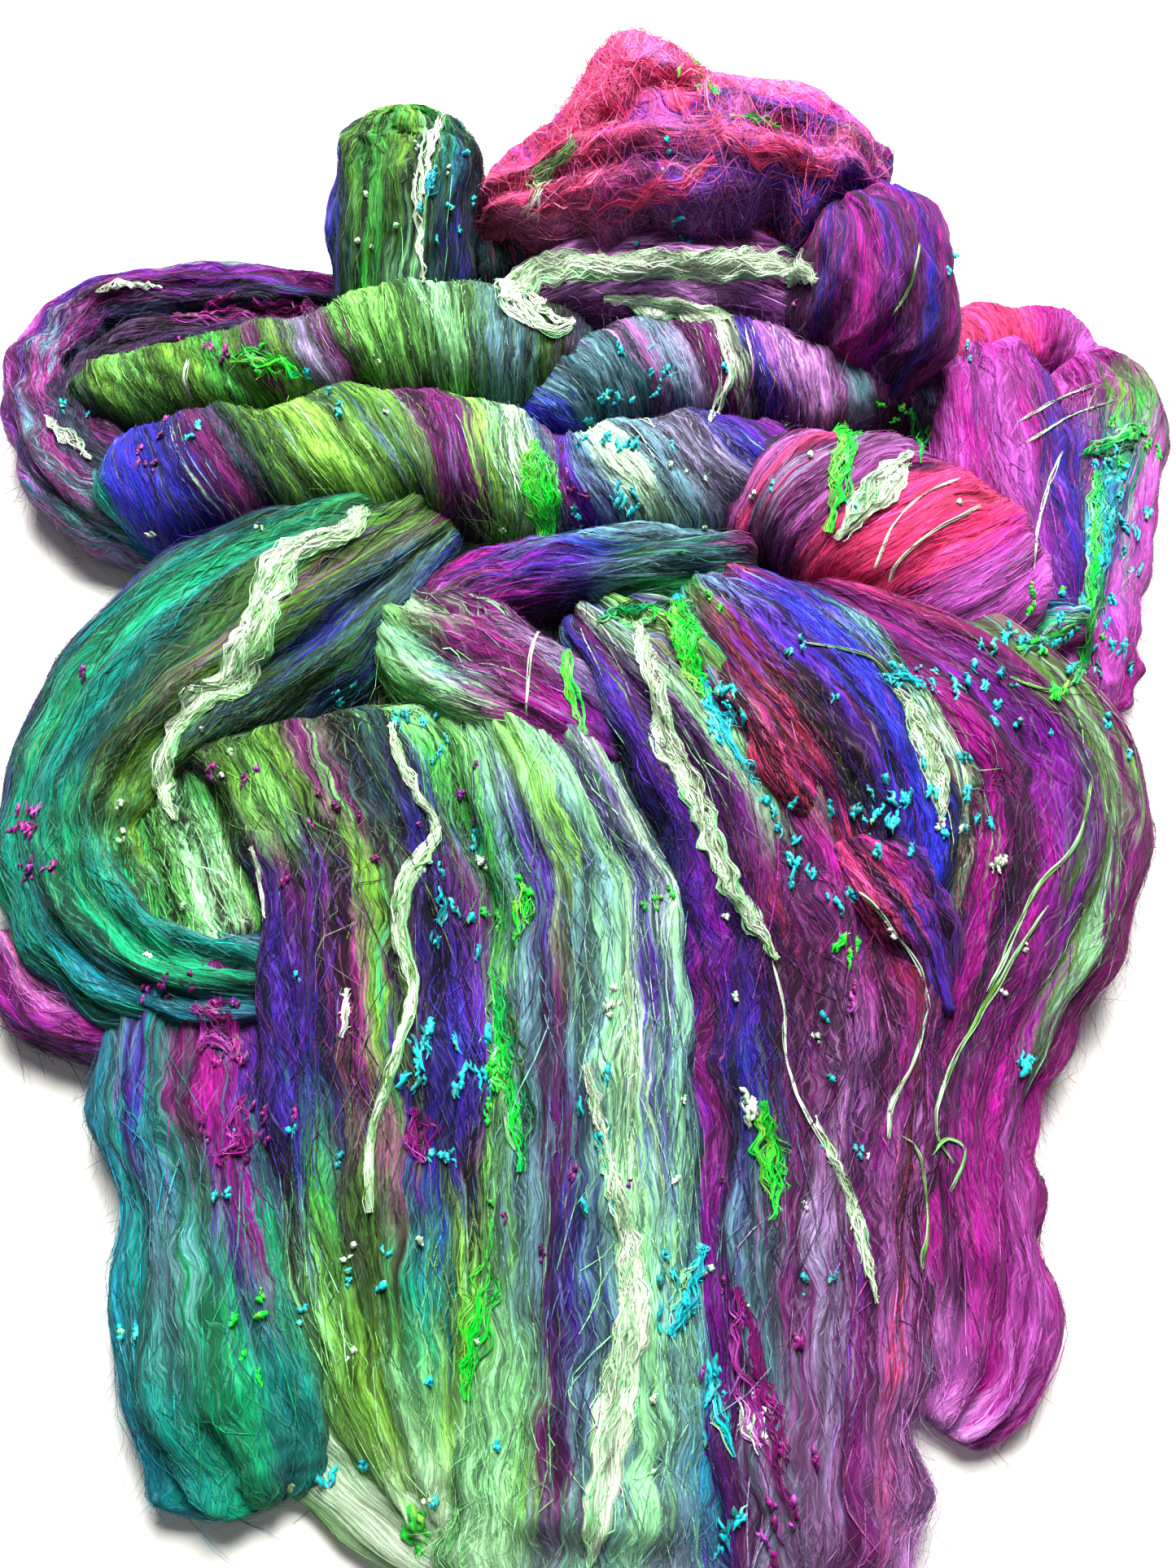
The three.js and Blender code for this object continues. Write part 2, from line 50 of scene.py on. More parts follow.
# Where the photograph was taken from, and its frame, in pixels.
EYE_HEIGHT = 385
EYE_SETBACK = 205
FRAME_WIDTH_PX = 1445
FRAME_HEIGHT_PX = 1927
FOCAL_PX = 1447
VIEW_TILT = math.atan2(EYE_HEIGHT, EYE_SETBACK)
SENSOR_WIDTH = 36

# The point of the table, as the folds are drafted, that is the origin.
MIDDLE = np.array([-3.4, 3.6, 0.0])
EYE = np.array([0.0, -EYE_SETBACK, EYE_HEIGHT]) - MIDDLE

# The form of a fold's section, as on the solid.
SQUARENESS = 0.85
END_ROUND = 0.5
SPINE_STEP = 0.05
PLEAT_WANDER = 0.35
WAVE_WANDER = 0.12
WANDER_RATE = 5

# How a fold's length is measured, and the way round its top as a multiple of its half width.
LENGTH_STEPS = 200
WAY_ROUND = 2.6

# The finer pleats of a fold: how many to each pitch of its width, how deep, and how far and how
# often they sway along it. They are shallower on a fold that its fibres run round.
PLEATS = [(0.3, 1.4, 0.5, 0.8), (0.55, 1.0, 0.7, 1.3), (1.1, 0.6, 0.8, 2.1), (2.0, 0.35, 0.8, 3.2)]
PLEAT_PITCH = 6
FEWEST_PLEATS = 3
PLEAT_EDGE = 0.75
OVER_DEPTH = 0.55

# Soft lumps along a fold: how many, how long and how deep, on its top and at its edges.
LUMPS = 5
LUMP_SPAN = (22, 60)
LUMP_TURNS = (0.6, 1.8)
LUMP_DEPTH = 0.45
EDGE_DEPTH = 0.8

# The mesh of a fold: the size of its faces, the rings of its round tips, and its smallest counts.
CELL = 1.6
HIDDEN_CELL = 2.4
BED_CELL = 6
TIP_SPAN = 0.5
TIP_RINGS = 6
TIP_END = 0.999
FEWEST_ROWS = 12
FEWEST_OVER = 14
FEWEST_UNDER = 6
FLOOR_GAP = 0.2

# Loose fibres: how many of the first three kinds in all. For each kind, the usual length, the points
# along one, its waves, sway and veer, how far it lifts in the middle and reaches off the wool at its
# end, its width, how light it is, and if it is only at the sides. The last kind curls, and only a
# fold that is looser than fluffy has it, as many as the fluff. A hidden fold has a share of the rest.
FIBRES = [12500, 7000, 9000]
KINDS = [
    (30, 6, 1, 1.1, 0.09, 0.4, 0.05, (0.14, 0.4), 0.1, False),
    (9, 5, 1, 0.7, 0.13, 0.5, 0.25, (0.09, 0.17), 0.08, False),
    (18, 6, 1, 2.4, 0.3, 0.4, 5.0, (0.1, 0.2), 0.05, True),
    (22, 12, 2, 2.0, 0.25, 1.5, 1.0, (0.1, 0.24), 0.2, False),
]
FLUFF = 1100
FLUFFY = 2
HIDDEN_SHARE = 0.4

# Where fibres start: places tried for each that is wanted, and how far past the ends and the sides.
TRIES = 4
TIP_REACH = 0.8
PAST_SIDES = 0.12
SIDE_SPREAD = 0.22

# How fibres differ: in length, waves and the curve of what stands off, and in facing and tone.
LENGTH_SHAPE = 5
WAVE_RANGE = (0.6, 2.2)
LEAST_LIFT = 0.1
REACH_RANGE = (1.2, 2.6)
MAX_REACH = 11
END_CURL = 0.3
FIBRE_TURN = 0.35
TONE_SPREAD = 0.35
TONE_RANGE = (-0.6, 1.2)
BLEND_STRAY = 5

# Fibre above this height is pressed down, by this share of how far above it is.
LEVEL_TOP = 120
TOP_EASE = 0.45

# How a ribbon of fibre narrows towards its ends.
TAPER_FROM = 0.12
TAPER_TO = 0.88
TAPER_POWER = 0.6

# A place on the wool is buried if a ray up from just above it leaves another fold.
CLEAR_BY = 0.8
UPWARD = Vector((0, 0, 1))

# The wool's look: how deep and rich its dyes are, how far its streaks sway, and how light it is
# where it thins out. A stray fibre has the colour that is this far on in the blend. The widths say
# how far streaks wander, in millimetres across the fibres.
WOOL_DEPTH = 0.9
RICHNESS = 1.1
SWAY = 3
FADE_LIGHT = 1.05
FADE_FROM = 0.6
STRAY_SHIFT = 0.41
# How dark the painted shade is at each fold's sides, where it meets the table and the folds beside it.
SIDE_SHADE = 0.5
WANDER_WIDTH = 14
STREAK_WIDTH = 26
CRIMP_WIDTH = 1.3
STAGE_BLUR = 0.3
FINE_HEIGHT = 0.5
DRAW_APART = 3.7

# Noises of wool and silk: how fine across the fibres and along them, how much detail, which draw.
NOISES = {
    "sway": (0.06, 0.05, 1, 8), "crimp": (0.35, 0.2, 2, 9), "wander": (0.042, 0.008, 1, 0),
    "streak": (0.42, 0.022, 3, 1), "fine": (1.9, 0.1, 2, 2), "groove": (0.24, 0.016, 2, 3),
    "stray": (0.7, 0.02, 2, 5), "mottle": (0.7, 0.4, 2, 10), "hairs": (1.6, 0.11, 1, 11),
    "silk_streak": (7.5, 45, 3, 0), "silk_fine": (40 / 3, 70, 2, 1),
}
NOISE_ROUGHNESS = 0.6

# What some of the noises give: between which of their values, and from how much to how much.
# The fine, groove and silk_fine shades are partly painted shade, darkest where the bump is low.
SHADES = {
    "fine": (0.32, 0.68, 0.08, 1.8), "groove": (0.385, 0.575, 0.05, 1.28),
    "mottle": (0.35, 0.65, 0.8, 1.2), "stray": (0.58, 0.66, 0.0, 0.6),
    "silk_fine": (0.34, 0.66, 0.34, 1.3),
}

# The strength of each bump and its depth in metres, and the shaders' plain settings.
WOOL_BUMP = (0.9, 0.0013)
SILK_BUMP = (0.7, 0.0008)
WOOL_SHADER = {
    "Roughness": 0.8, "Specular IOR Level": 0.15, "Sheen Weight": 0.05, "Sheen Roughness": 0.5,
}
SILK_SHADER = {"Roughness": 0.42, "Specular IOR Level": 0.35, "Sheen Weight": 0.08}

# Loose hairs drawn across the streaks, in a painted highlight: how far they turn from them, and how much
# they show.
# The highlight is the wool's own colour made lighter, with a share of a near white mixed in.
FRIZZ = [(0.3, 0.55), (-0.42, 0.5), (0.08, 0.5)]
HAIR_BAND = (0.6, 0.74)
HAIR_HIGHLIGHT = 1.7
HIGHLIGHT_WHITE = "d8e4e0"
HIGHLIGHT_WHITENESS = 0.08

# Silk and locks: how rich their dyes are, how wide their streaks, and the draws of their numbers.
SILK_RICHNESS = 1.15
SILK_STREAK_WIDTH = 1.5
SILK_DRAW = 1.3
LOCK_SEED = 7
NEPP_SEED = 11
THREAD_SEED = 13

# How a path is laid on the heap: its steps and detail, how it narrows at its ends, how far off the
# wool is looked for, how far its edges may drop, and the farthest place that a sight line may find.
PATH_STEP = 1.1
PATH_DETAIL = 30
PATH_COLUMNS = 13
OUT_SMOOTHING = 20
END_LENGTH = 14
END_WIDTH = 0.1
SEEK = 9
MAX_DROP = 5
FARTHEST = 640

# The waves of a path's two edges: how deep, how long, and where each starts.
LEFT_WAVES = [(0.12, 6.3, 0), (0.14, 1.9, 2)]
RIGHT_WAVES = [(0.12, 7.1, 4), (0.14, 1.6, 1)]

# The strands over a band of silk, how many to each that is listed, and how wide a lock's are.
BAND_CRIMP = 0.8
BAND_PITCH = 8
BAND_FRAY = 3
BAND_STRANDS = 2.2
BAND_STRAND_WIDTH = 0.34
LOCK_STRANDS = 1.6
LOCK_STRAND_WIDTH = 0.36
LOCK_DRAWS = 100

# The strands of a lock: how many to a clump, the points along one, how far one strays from its
# clump, how far and how often a clump roams, and how far strands stray in tone and turn.
CLUMP = 8
POINTS_PER_WAVE = 4
STRAND_POINTS = (10, 40)
STRAND_SPREAD = 0.13
ROAM = 0.25
ROAM_SPAN = 26
STRAND_TONE = 0.22
STRAND_TURN = 0.5

# A band is a little proud at its edges and sunk into the wool below. Its waves: how deep, how many
# across it, and how far and how often they sway along it.
BAND_FILL = 0.55
BAND_END = 5
BAND_EDGE = 0.25
BAND_SUNK = 0.4
BAND_WAVES = [(0.22, 6, 1.2, 9), (0.25, 15, 1.5, 6.3)]

# Each nepp is a few short curls, and each thread a few strands side by side.
NEPP_POINTS = 6
NEPP_CURLS = (2, 5)
NEPP_SIZE = (0.4, 1.2)
NEPP_WAVES = (5, 11)
NEPP_RADIUS = (0.35, 0.9)
NEPP_SIDES = 4
NEPP_FLOOR = 0.6
THREAD_SIDES = 5
THREAD_STEP = 1.2
THREAD_STRANDS = 4
THREAD_RADIUS = 0.27
THREAD_SPREAD = 0.28
THREAD_LIFT = 0.5

# Two soft lights: where each is, how big, how strong in watts, and its colour.
LIGHTS = {
    "key": ((0.06, 0.6, 0.92), 0.7, 45, (1, 0.99, 0.97)),
    "fill": ((0.2, -0.6, 1.0), 0.8, 1.2, (0.97, 0.98, 1)),
}
SKY_COLOUR = (1.0, 1.0, 0.98, 1)
SKY_STRENGTH = 0.06
FLOOR_COLOUR = (0.95, 0.945, 0.9, 1)
FLOOR_SIZE = 6

# Every random draw starts from this.
SEED = 7

# A path on the heap: its points, its way across and out, its half width and how far along it each is.
Path = namedtuple("Path", "points across up half steps")

# The blend's colours, as they look in daylight. The darkest of them also serve as painted shade in some
# blends.
PALETTE = {
    "white": "eaf3e2", "pale_mint": "c4e6bd", "mint": "8ccf92", "apple": "6eb456", "lime": "80ba50",
    "neon": "2fe045", "green": "348f38", "emerald": "178f5e", "olive": "57852f", "moss": "355c1c",
    "dark_olive": "22400e", "forest": "143c18", "teal": "167a70", "deep_teal": "08343a",
    "blue_teal": "2a83a0", "turquoise": "08c4d6", "slate": "5a7f8c", "grey_violet": "857a9c",
    "navy": "0a1434", "blue": "3538c0", "indigo": "241e80", "violet": "4e2896", "purple": "641a7a",
    "plum": "581550", "deep_plum": "25092d", "mauve": "8d5590", "lilac": "da9ce2",
    "magenta": "901f78", "orchid": "b256ae", "pink": "ec6c98", "hot_pink": "d8446f",
    "rose": "ca4670", "red": "c03662", "brick": "8c2430",
}


class Fold:
    """One fold of the web, by its table, its stages of colour and how loose and even it is.

    A row of the table is a section: the pixel px, py that shows its middle, the middle's height z,
    half its width, how far it rises, and for some folds its turn in degrees. A hidden fold has x and
    y instead of a pixel. Fibres run along a fold or over it. A stage is how far along the fold it
    is, from 0 to 1, and the blend there: colours, each with its place across in hundredths.
    """

    every = []

    def __init__(self, name, wool, ridges, relief, rows, stages, hidden=False, lean=0.0, loose=1.0,
                 fade=0.0, calm=0.0):
        self.name = name
        self.wool = wool
        self.ridges = ridges
        self.relief = relief
        self.stages = stages
        self.lean = lean
        self.loose = loose
        self.calm = calm
        self.fade = max(fade, calm)
        self.hidden = hidden
        table = np.array(rows, float)
        if hidden:
            self.middles = table[:, :3] - MIDDLE
        else:
            self.middles = np.array([on_sight_line(*row[:3]) for row in table])
        self.half = table[:, 3]
        self.rise = table[:, 4]
        self.turn = np.radians(table[:, 5]) if table.shape[1] > 5 else None
        self.last = len(rows) - 1
        Fold.every.append(self)


def sight_ray(px, py):
    right = (px - FRAME_WIDTH_PX / 2) / FOCAL_PX
    up = (FRAME_HEIGHT_PX / 2 - py) / FOCAL_PX
    return np.array([
        right,
        math.cos(VIEW_TILT) + up * math.sin(VIEW_TILT),
        -math.sin(VIEW_TILT) + up * math.cos(VIEW_TILT),
    ])


def on_sight_line(px, py, z):
    """The point at height z, in millimetres, that a pixel of the photograph shows."""
    ray = sight_ray(px, py)
    return EYE + ray * ((z - EYE[2]) / ray[2])


# In the stages below, the darkest colours at the ends of a blend, such as navy, deep_plum and forest, are
# partly painted shade where a fold's sides meet the table and the folds beside it.
Fold("bed", "along", fade=0.8, ridges=4, relief=0.8, rows=[
    (740, 395, 10, 90, 12, 0), (735, 450, 11.5, 160, 14, 0), (725, 540, 11.5, 188, 14, 0),
    (720, 640, 11.5, 180, 14, 0), (740, 740, 10.5, 160, 13, 0), (705, 850, 10.5, 165, 12.5, 0),
    (695, 980, 9, 160, 11, 0), (690, 1110, 8, 150, 10, 0), (690, 1250, 7.2, 138, 9, 0),
    (700, 1400, 6.4, 130, 8, 0), (710, 1550, 5.5, 128, 7, 0), (712, 1650, 5.5, 122, 7, 0),
    (690, 1740, 5, 102, 6.5, 0), (700, 1820, 4.7, 82, 6, 0), (760, 1920, 4.3, 66, 5.5, 0),
    (800, 2005, 3, 44, 4, 0),
], stages=[
    (0, "teal 0 blue_teal 8 deep_teal 16 plum 30 green 42 mint 52 slate 60 indigo 68 plum 80 "
        "magenta 92 orchid 100"),
    (0.7, "teal 0 emerald 8 green 16 moss 30 green 42 mint 52 slate 60 indigo 68 plum 80 "
        "mauve 92 orchid 100"),
    (0.85, "apple 0 pale_mint 12 pale_mint 25 mint 36 slate 50 mint 58 slate 66 plum 76 mauve 88 "
        "lilac 100"),
    (1, "pale_mint 0 white 12 white 25 pale_mint 36 slate 50 mint 58 slate 66 mauve 76 "
        "lilac 88 lilac 100"),
])
Fold("loop_left", "along", ridges=3, relief=1.4, loose=1.3, calm=0.15, rows=[
    (430, 385, 34, 10, 12), (330, 380, 28, 13, 16), (230, 386, 22, 15, 18), (140, 398, 18, 15, 18),
    (86, 436, 16, 14, 18), (60, 492, 15, 14, 18), (64, 552, 14, 14, 17), (100, 612, 13, 15, 16),
    (165, 655, 12, 16, 15), (240, 675, 11, 14, 13),
], stages=[
    (0, "teal 0 emerald 8 violet 18 magenta 30 plum 42 indigo 55 deep_plum 70 navy 85 "
        "forest 100"),
    (0.3, "purple 0 magenta 12 violet 28 indigo 42 magenta 52 deep_plum 65 navy 85 deep_plum 100"),
    (0.5, "lilac 0 orchid 12 plum 28 violet 42 slate 55 magenta 68 navy 85 deep_teal 100"),
    (0.68, "orchid 0 violet 14 plum 30 slate 45 magenta 58 deep_teal 72 navy 100"),
    (0.85, "mauve 0 teal 18 plum 34 slate 50 plum 66 navy 100"),
    (1, "blue_teal 0 teal 30 deep_teal 60 navy 100"),
])
Fold("loop_left_inner", "along", ridges=2, relief=1, rows=[
    (420, 440, 24, 10, 14), (300, 435, 22, 12, 15), (180, 450, 19, 13, 15), (118, 500, 16, 12, 15),
    (122, 560, 15, 13, 15), (190, 610, 14, 14, 14),
], stages=[
    (0, "deep_teal 0 plum 30 navy 60 deep_plum 100"),
    (1, "navy 0 deep_teal 40 plum 70 navy 100"),
])
Fold("loop_green", "along", ridges=3, relief=1.4, rows=[
    (500, 136, 98, 10, 4, 0), (500, 150, 95, 21, 8, 0), (501, 176, 89, 27, 13, 0),
    (500, 225, 79, 29, 17, 0), (496, 290, 68, 29, 18, 0), (491, 350, 56, 28, 17, 0),
    (490, 400, 44, 26, 14, 0),
], stages=[
    (0, "olive 0 moss 10 apple 20 olive 30 green 42 olive 55 apple 66 green 76 moss 88 "
        "teal 100"),
    (0.35, "indigo 0 moss 10 olive 22 green 32 moss 45 olive 58 mint 66 forest 74 teal 84 navy 92 "
        "deep_teal 100"),
    (0.7, "violet 0 blue 8 deep_teal 16 moss 30 green 40 dark_olive 50 forest 60 mint 66 "
        "forest 72 navy 80 indigo 90 navy 100"),
    (1, "navy 0 deep_teal 12 green 30 forest 50 mint 60 navy 72 deep_teal 85 navy 100"),
])
Fold("loop_green_back", "along", ridges=3, relief=1.4, hidden=True, rows=[
    (-72, 228, 88, 17, 8, 0), (-72, 242, 83, 25, 12, 0), (-72, 253, 66, 28, 15, 0),
    (-72, 254, 44, 29, 16, 0), (-73, 246, 24, 27, 14, 0), (-75, 228, 15, 22, 11, 0),
], stages=[
    (0, "navy 0 teal 20 olive 45 green 65 olive 85 blue 100"),
])
Fold("back_low", "over", ridges=4, relief=1.4, hidden=True, rows=[
    (-112, 196, 13, 14, 17), (-70, 215, 16, 26, 20), (-20, 224, 20, 29, 24), (35, 230, 22, 33, 26),
    (85, 224, 22, 33, 26), (128, 202, 19, 28, 23), (160, 180, 13, 15, 16),
], stages=[
    (0, "forest 0 olive 14 teal 24 plum 34 violet 48 magenta 60 hot_pink 72 orchid 84 purple 100"),
])
Fold("back_high", "over", ridges=3, relief=1.4, hidden=True, rows=[
    (-40, 218, 50, 15, 14), (8, 227, 55, 25, 20), (58, 231, 57, 28, 22), (102, 218, 54, 26, 21),
    (126, 194, 46, 16, 16),
], stages=[
    (0, "deep_teal 0 plum 20 hot_pink 45 rose 65 magenta 85 purple 100"),
])
Fold("roll_top_left", "over", ridges=4, relief=1.4, lean=0.07, calm=0.15, rows=[
    (120, 498, 22, 10, 14), (200, 487, 29, 17, 19), (300, 475, 35, 19, 21), (400, 460, 41, 21, 23),
    (480, 442, 45, 25, 26), (565, 440, 46, 27, 27), (650, 455, 44, 25, 25), (725, 480, 40, 18, 20),
], stages=[
    (0, "forest 0 olive 6 apple 12 moss 17 olive 22 green 27 moss 32 plum 35 olive 38 "
        "grey_violet 43 plum 47 apple 52 apple 60 forest 64 mint 69 moss 74 slate 80 "
        "dark_olive 86 deep_plum 92 deep_teal 100"),
])
Fold("roll_top_mid", "over", ridges=4, relief=1.4, lean=0.1, calm=0.25, rows=[
    (655, 528, 34, 9, 12), (705, 492, 42, 19, 20), (775, 475, 44, 22, 22), (855, 470, 44, 22, 22),
    (940, 474, 44, 21, 21), (1030, 488, 41, 18, 19), (1120, 506, 34, 11, 15),
], stages=[
    (0, "indigo 0 blue 7 slate 12 deep_teal 18 slate 24 deep_teal 30 mauve 34 slate 39 "
        "grey_violet 44 plum 48 plum 54 pale_mint 57 deep_plum 60 indigo 63 mauve 67 lilac 71 "
        "mauve 76 slate 81 plum 87 deep_plum 92 navy 100"),
])
# roll_main's dark teal and forest stripes, near 26, 28 and 42 in its blend, are partly painted shade on the
# roll's shadowed underside.
Fold("roll_main", "over", ridges=6, relief=1.6, lean=0.11, calm=0.12, rows=[
    (158, 612, 23, 14, 16), (205, 607, 28, 26, 25), (270, 600, 31, 29, 27), (345, 588, 32, 26, 26),
    (440, 577, 35, 28, 28), (545, 578, 35, 28, 28), (635, 603, 33, 24, 26), (700, 617, 31, 22, 24),
    (780, 607, 35, 26, 27), (870, 602, 36, 26, 27), (945, 586, 34, 19, 22),
], stages=[
    (0, "teal 0 blue 5 indigo 16 plum 20 plum 23 deep_teal 26 forest 28 olive 33 lime 37 "
        "forest 42 olive 46 plum 49 plum 52 lime 55 mint 57 pale_mint 60 slate 63 plum 67 "
        "violet 70 slate 74 pale_mint 78 slate 82 grey_violet 88 indigo 93 purple 100"),
])
Fold("roll_right", "over", ridges=5, relief=1.6, lean=-0.35, calm=0.35, rows=[
    (885, 645, 31, 15, 17), (950, 628, 37, 27, 25), (1030, 642, 39, 34, 28), (1110, 677, 39, 36, 28),
    (1180, 711, 37, 34, 26), (1240, 738, 31, 23, 20),
], stages=[
    (0, "indigo 0 slate 5 deep_plum 11 plum 17 mauve 21 rose 24 plum 28 grey_violet 32 plum 37 "
        "mauve 42 plum 47 hot_pink 52 red 58 hot_pink 64 red 70 hot_pink 76 magenta 82 "
        "orchid 88 orchid 100"),
])
Fold("ball_purple", "along", ridges=3, relief=1.6, calm=0.3, rows=[
    (1050, 262, 84, 17, 11), (1066, 300, 79, 28, 20), (1070, 350, 69, 32, 26),
    (1068, 400, 58, 32, 27), (1062, 440, 49, 30, 24), (1055, 475, 42, 23, 18),
], stages=[
    (0, "plum 0 magenta 8 indigo 14 plum 22 purple 28 magenta 34 deep_plum 40 purple 46 "
        "indigo 51 plum 58 magenta 64 purple 70 indigo 75 plum 82 magenta 90 purple 100"),
    (1, "navy 0 deep_plum 15 plum 30 magenta 40 purple 52 deep_plum 64 indigo 76 plum 88 "
        "purple 100"),
])
Fold("cloud_pink", "along", ridges=4, relief=2.6, loose=2.6, calm=0.25, rows=[
    (606, 282, 58, 9, 9), (655, 258, 70, 21, 19), (740, 228, 80, 30, 25), (830, 210, 86, 32, 27),
    (920, 206, 86, 30, 25), (1000, 222, 82, 26, 23), (1058, 250, 76, 15, 16),
], stages=[
    (0, "pink 0 hot_pink 20 pink 40 rose 55 pink 70 hot_pink 85 pink 100"),
    (0.3, "mauve 0 rose 15 pink 32 hot_pink 46 rose 56 violet 64 rose 72 hot_pink 86 pink 100"),
    (0.5, "mauve 0 violet 12 rose 24 pink 34 mauve 44 violet 52 rose 60 pink 70 hot_pink 84 "
        "rose 100"),
    (0.8, "indigo 0 violet 12 mauve 22 rose 32 pink 42 mauve 50 violet 56 hot_pink 64 pink 75 "
        "orchid 88 pink 100"),
    (1, "purple 0 indigo 14 violet 26 orchid 38 mauve 48 hot_pink 60 violet 72 magenta 85 "
        "green 100"),
])
Fold("cloud_tuft", "along", ridges=2, relief=1, loose=3.2, calm=0.3, rows=[
    (712, 190, 90, 10, 10), (732, 128, 104, 12, 10), (775, 97, 111, 12, 9), (830, 106, 108, 10, 9),
    (880, 152, 96, 10, 10),
], stages=[
    (0, "rose 0 pink 20 mauve 40 rose 56 pink 72 rose 100"),
])
Fold("shelf_plum", "along", ridges=2, relief=1.2, calm=0.35, rows=[
    (645, 385, 50, 10, 13), (720, 355, 58, 16, 17), (800, 345, 61, 18, 19), (880, 352, 60, 18, 19),
    (960, 372, 54, 13, 16), (1010, 385, 48, 8, 11),
], stages=[
    (0, "mauve 0 lilac 14 plum 26 lilac 36 mauve 46 plum 58 orchid 68 mauve 80 plum 90 "
        "lilac 100"),
])
Fold("roll_rose", "over", ridges=3, relief=1.4, calm=0.4, rows=[
    (1085, 480, 28, 12, 17), (1150, 455, 24, 17, 20), (1215, 438, 20, 19, 20),
    (1280, 442, 18, 17, 19), (1335, 468, 15, 12, 15),
], stages=[
    (0, "plum 0 red 15 rose 28 hot_pink 40 red 48 hot_pink 58 magenta 72 orchid 85 orchid 100"),
])
Fold("fall_orchid", "along", ridges=3, relief=1.6, calm=0.45, rows=[
    (1198, 462, 28, 20, 17), (1210, 500, 26, 26, 20), (1222, 580, 24, 29, 21),
    (1238, 660, 21, 28, 20), (1262, 735, 17, 24, 17), (1282, 790, 11, 17, 12),
], stages=[
    (0, "rose 0 magenta 12 plum 20 orchid 30 plum 42 magenta 54 orchid 64 magenta 76 plum 86 "
        "orchid 100"),
    (0.35, "magenta 0 orchid 14 magenta 26 plum 36 orchid 48 magenta 58 plum 68 indigo 78 "
        "violet 88 indigo 100"),
    (1, "plum 0 magenta 15 plum 28 orchid 42 indigo 55 violet 66 indigo 78 magenta 88 "
        "indigo 100"),
])
Fold("edge_right", "along", ridges=3, relief=1.6, calm=0.5, rows=[
    (1322, 470, 20, 17, 16), (1348, 515, 16, 23, 18), (1350, 590, 15, 23, 18),
    (1336, 670, 14, 22, 17), (1326, 750, 12, 22, 15), (1328, 820, 10, 20, 12),
    (1336, 872, 5.5, 14, 7),
], stages=[
    (0, "orchid 0 magenta 20 orchid 40 plum 55 magenta 75 orchid 100"),
    (0.2, "orchid 0 plum 18 mauve 30 plum 42 olive 54 plum 66 green 78 plum 90 olive 100"),
    (0.38, "purple 0 indigo 15 violet 28 plum 38 indigo 46 emerald 56 indigo 64 emerald 72 "
        "orchid 84 magenta 100"),
    (0.68, "indigo 0 purple 14 indigo 28 emerald 40 turquoise 48 violet 58 orchid 74 orchid 100"),
    (0.8, "magenta 0 orchid 25 magenta 45 orchid 70 magenta 85 orchid 100"),
    (1, "orchid 0 lilac 30 orchid 60 magenta 100"),
])
Fold("curl_right", "along", ridges=2, relief=0.6, calm=0.3, rows=[
    (1322, 772, 27, 7, 8), (1272, 776, 28, 9, 9), (1238, 805, 26, 9, 9), (1225, 845, 22, 8, 8),
], stages=[
    (0, "mauve 0 navy 15 indigo 30 turquoise 40 indigo 48 emerald 58 mint 66 emerald 76 "
        "orchid 88 magenta 100"),
])
Fold("fold_violet", "along", ridges=2, relief=1.4, calm=0.15, rows=[
    (905, 702, 34, 12, 14), (810, 706, 37, 14, 16), (700, 716, 37, 15, 16), (610, 730, 35, 14, 15),
    (540, 752, 31, 9, 11),
], stages=[
    (0, "plum 0 magenta 30 deep_plum 60 plum 100"),
    (0.12, "deep_teal 0 slate 25 deep_teal 50 slate 75 emerald 100"),
    (0.35, "navy 0 slate 30 deep_teal 55 slate 80 green 100"),
    (0.48, "navy 0 indigo 20 slate 35 blue 50 violet 65 indigo 80 deep_plum 100"),
    (0.75, "deep_plum 0 magenta 20 violet 35 magenta 55 indigo 70 magenta 85 plum 100"),
    (1, "plum 0 magenta 30 mauve 50 moss 60 magenta 75 purple 100"),
])
Fold("fold_magenta", "along", ridges=3, relief=1.4, calm=0.2, rows=[
    (490, 768, 28, 14, 13), (550, 812, 32, 25, 17), (620, 848, 35, 26, 18), (695, 888, 36, 19, 16),
    (750, 930, 33, 12, 12),
], stages=[
    (0, "green 0 mint 20 apple 40 mint 55 deep_plum 75 magenta 100"),
    (0.35, "apple 0 mint 18 slate 32 plum 45 magenta 60 plum 75 deep_plum 100"),
    (0.65, "mint 0 plum 15 magenta 35 plum 55 grey_violet 70 plum 100"),
    (1, "magenta 0 purple 40 violet 70 deep_plum 100"),
])
Fold("swath_left", "along", ridges=5, relief=2, lean=0.12, calm=0.2, rows=[
    (520, 655, 26, 22, 18), (440, 705, 28, 36, 22), (335, 775, 26, 47, 25), (225, 860, 22, 45, 25),
    (145, 955, 18, 36, 22), (112, 1045, 16, 30, 19), (135, 1125, 15, 28, 18), (205, 1190, 15, 24, 17),
    (300, 1218, 14, 20, 16), (390, 1222, 13, 14, 13),
], stages=[
    (0, "indigo 0 deep_teal 10 teal 20 green 28 dark_olive 38 olive 46 moss 58 plum 66 "
        "olive 74 indigo 86 deep_plum 100"),
    (0.2, "violet 0 deep_teal 7 teal 16 emerald 24 teal 34 deep_teal 42 moss 49 plum 54 olive 60 "
        "moss 68 indigo 76 moss 84 navy 92 indigo 100"),
    (0.45, "violet 0 deep_teal 8 teal 18 emerald 28 teal 38 deep_teal 47 moss 55 olive 64 moss 74 "
        "dark_olive 86 forest 100"),
    (0.65, "blue_teal 0 emerald 12 teal 24 deep_teal 36 emerald 48 teal 60 moss 74 olive 88 "
        "green 100"),
    (0.85, "violet 0 teal 14 blue_teal 26 deep_teal 40 emerald 54 teal 68 slate 82 deep_teal 100"),
    (1, "orchid 0 violet 14 purple 26 blue_teal 40 navy 55 teal 70 deep_teal 85 navy 100"),
])
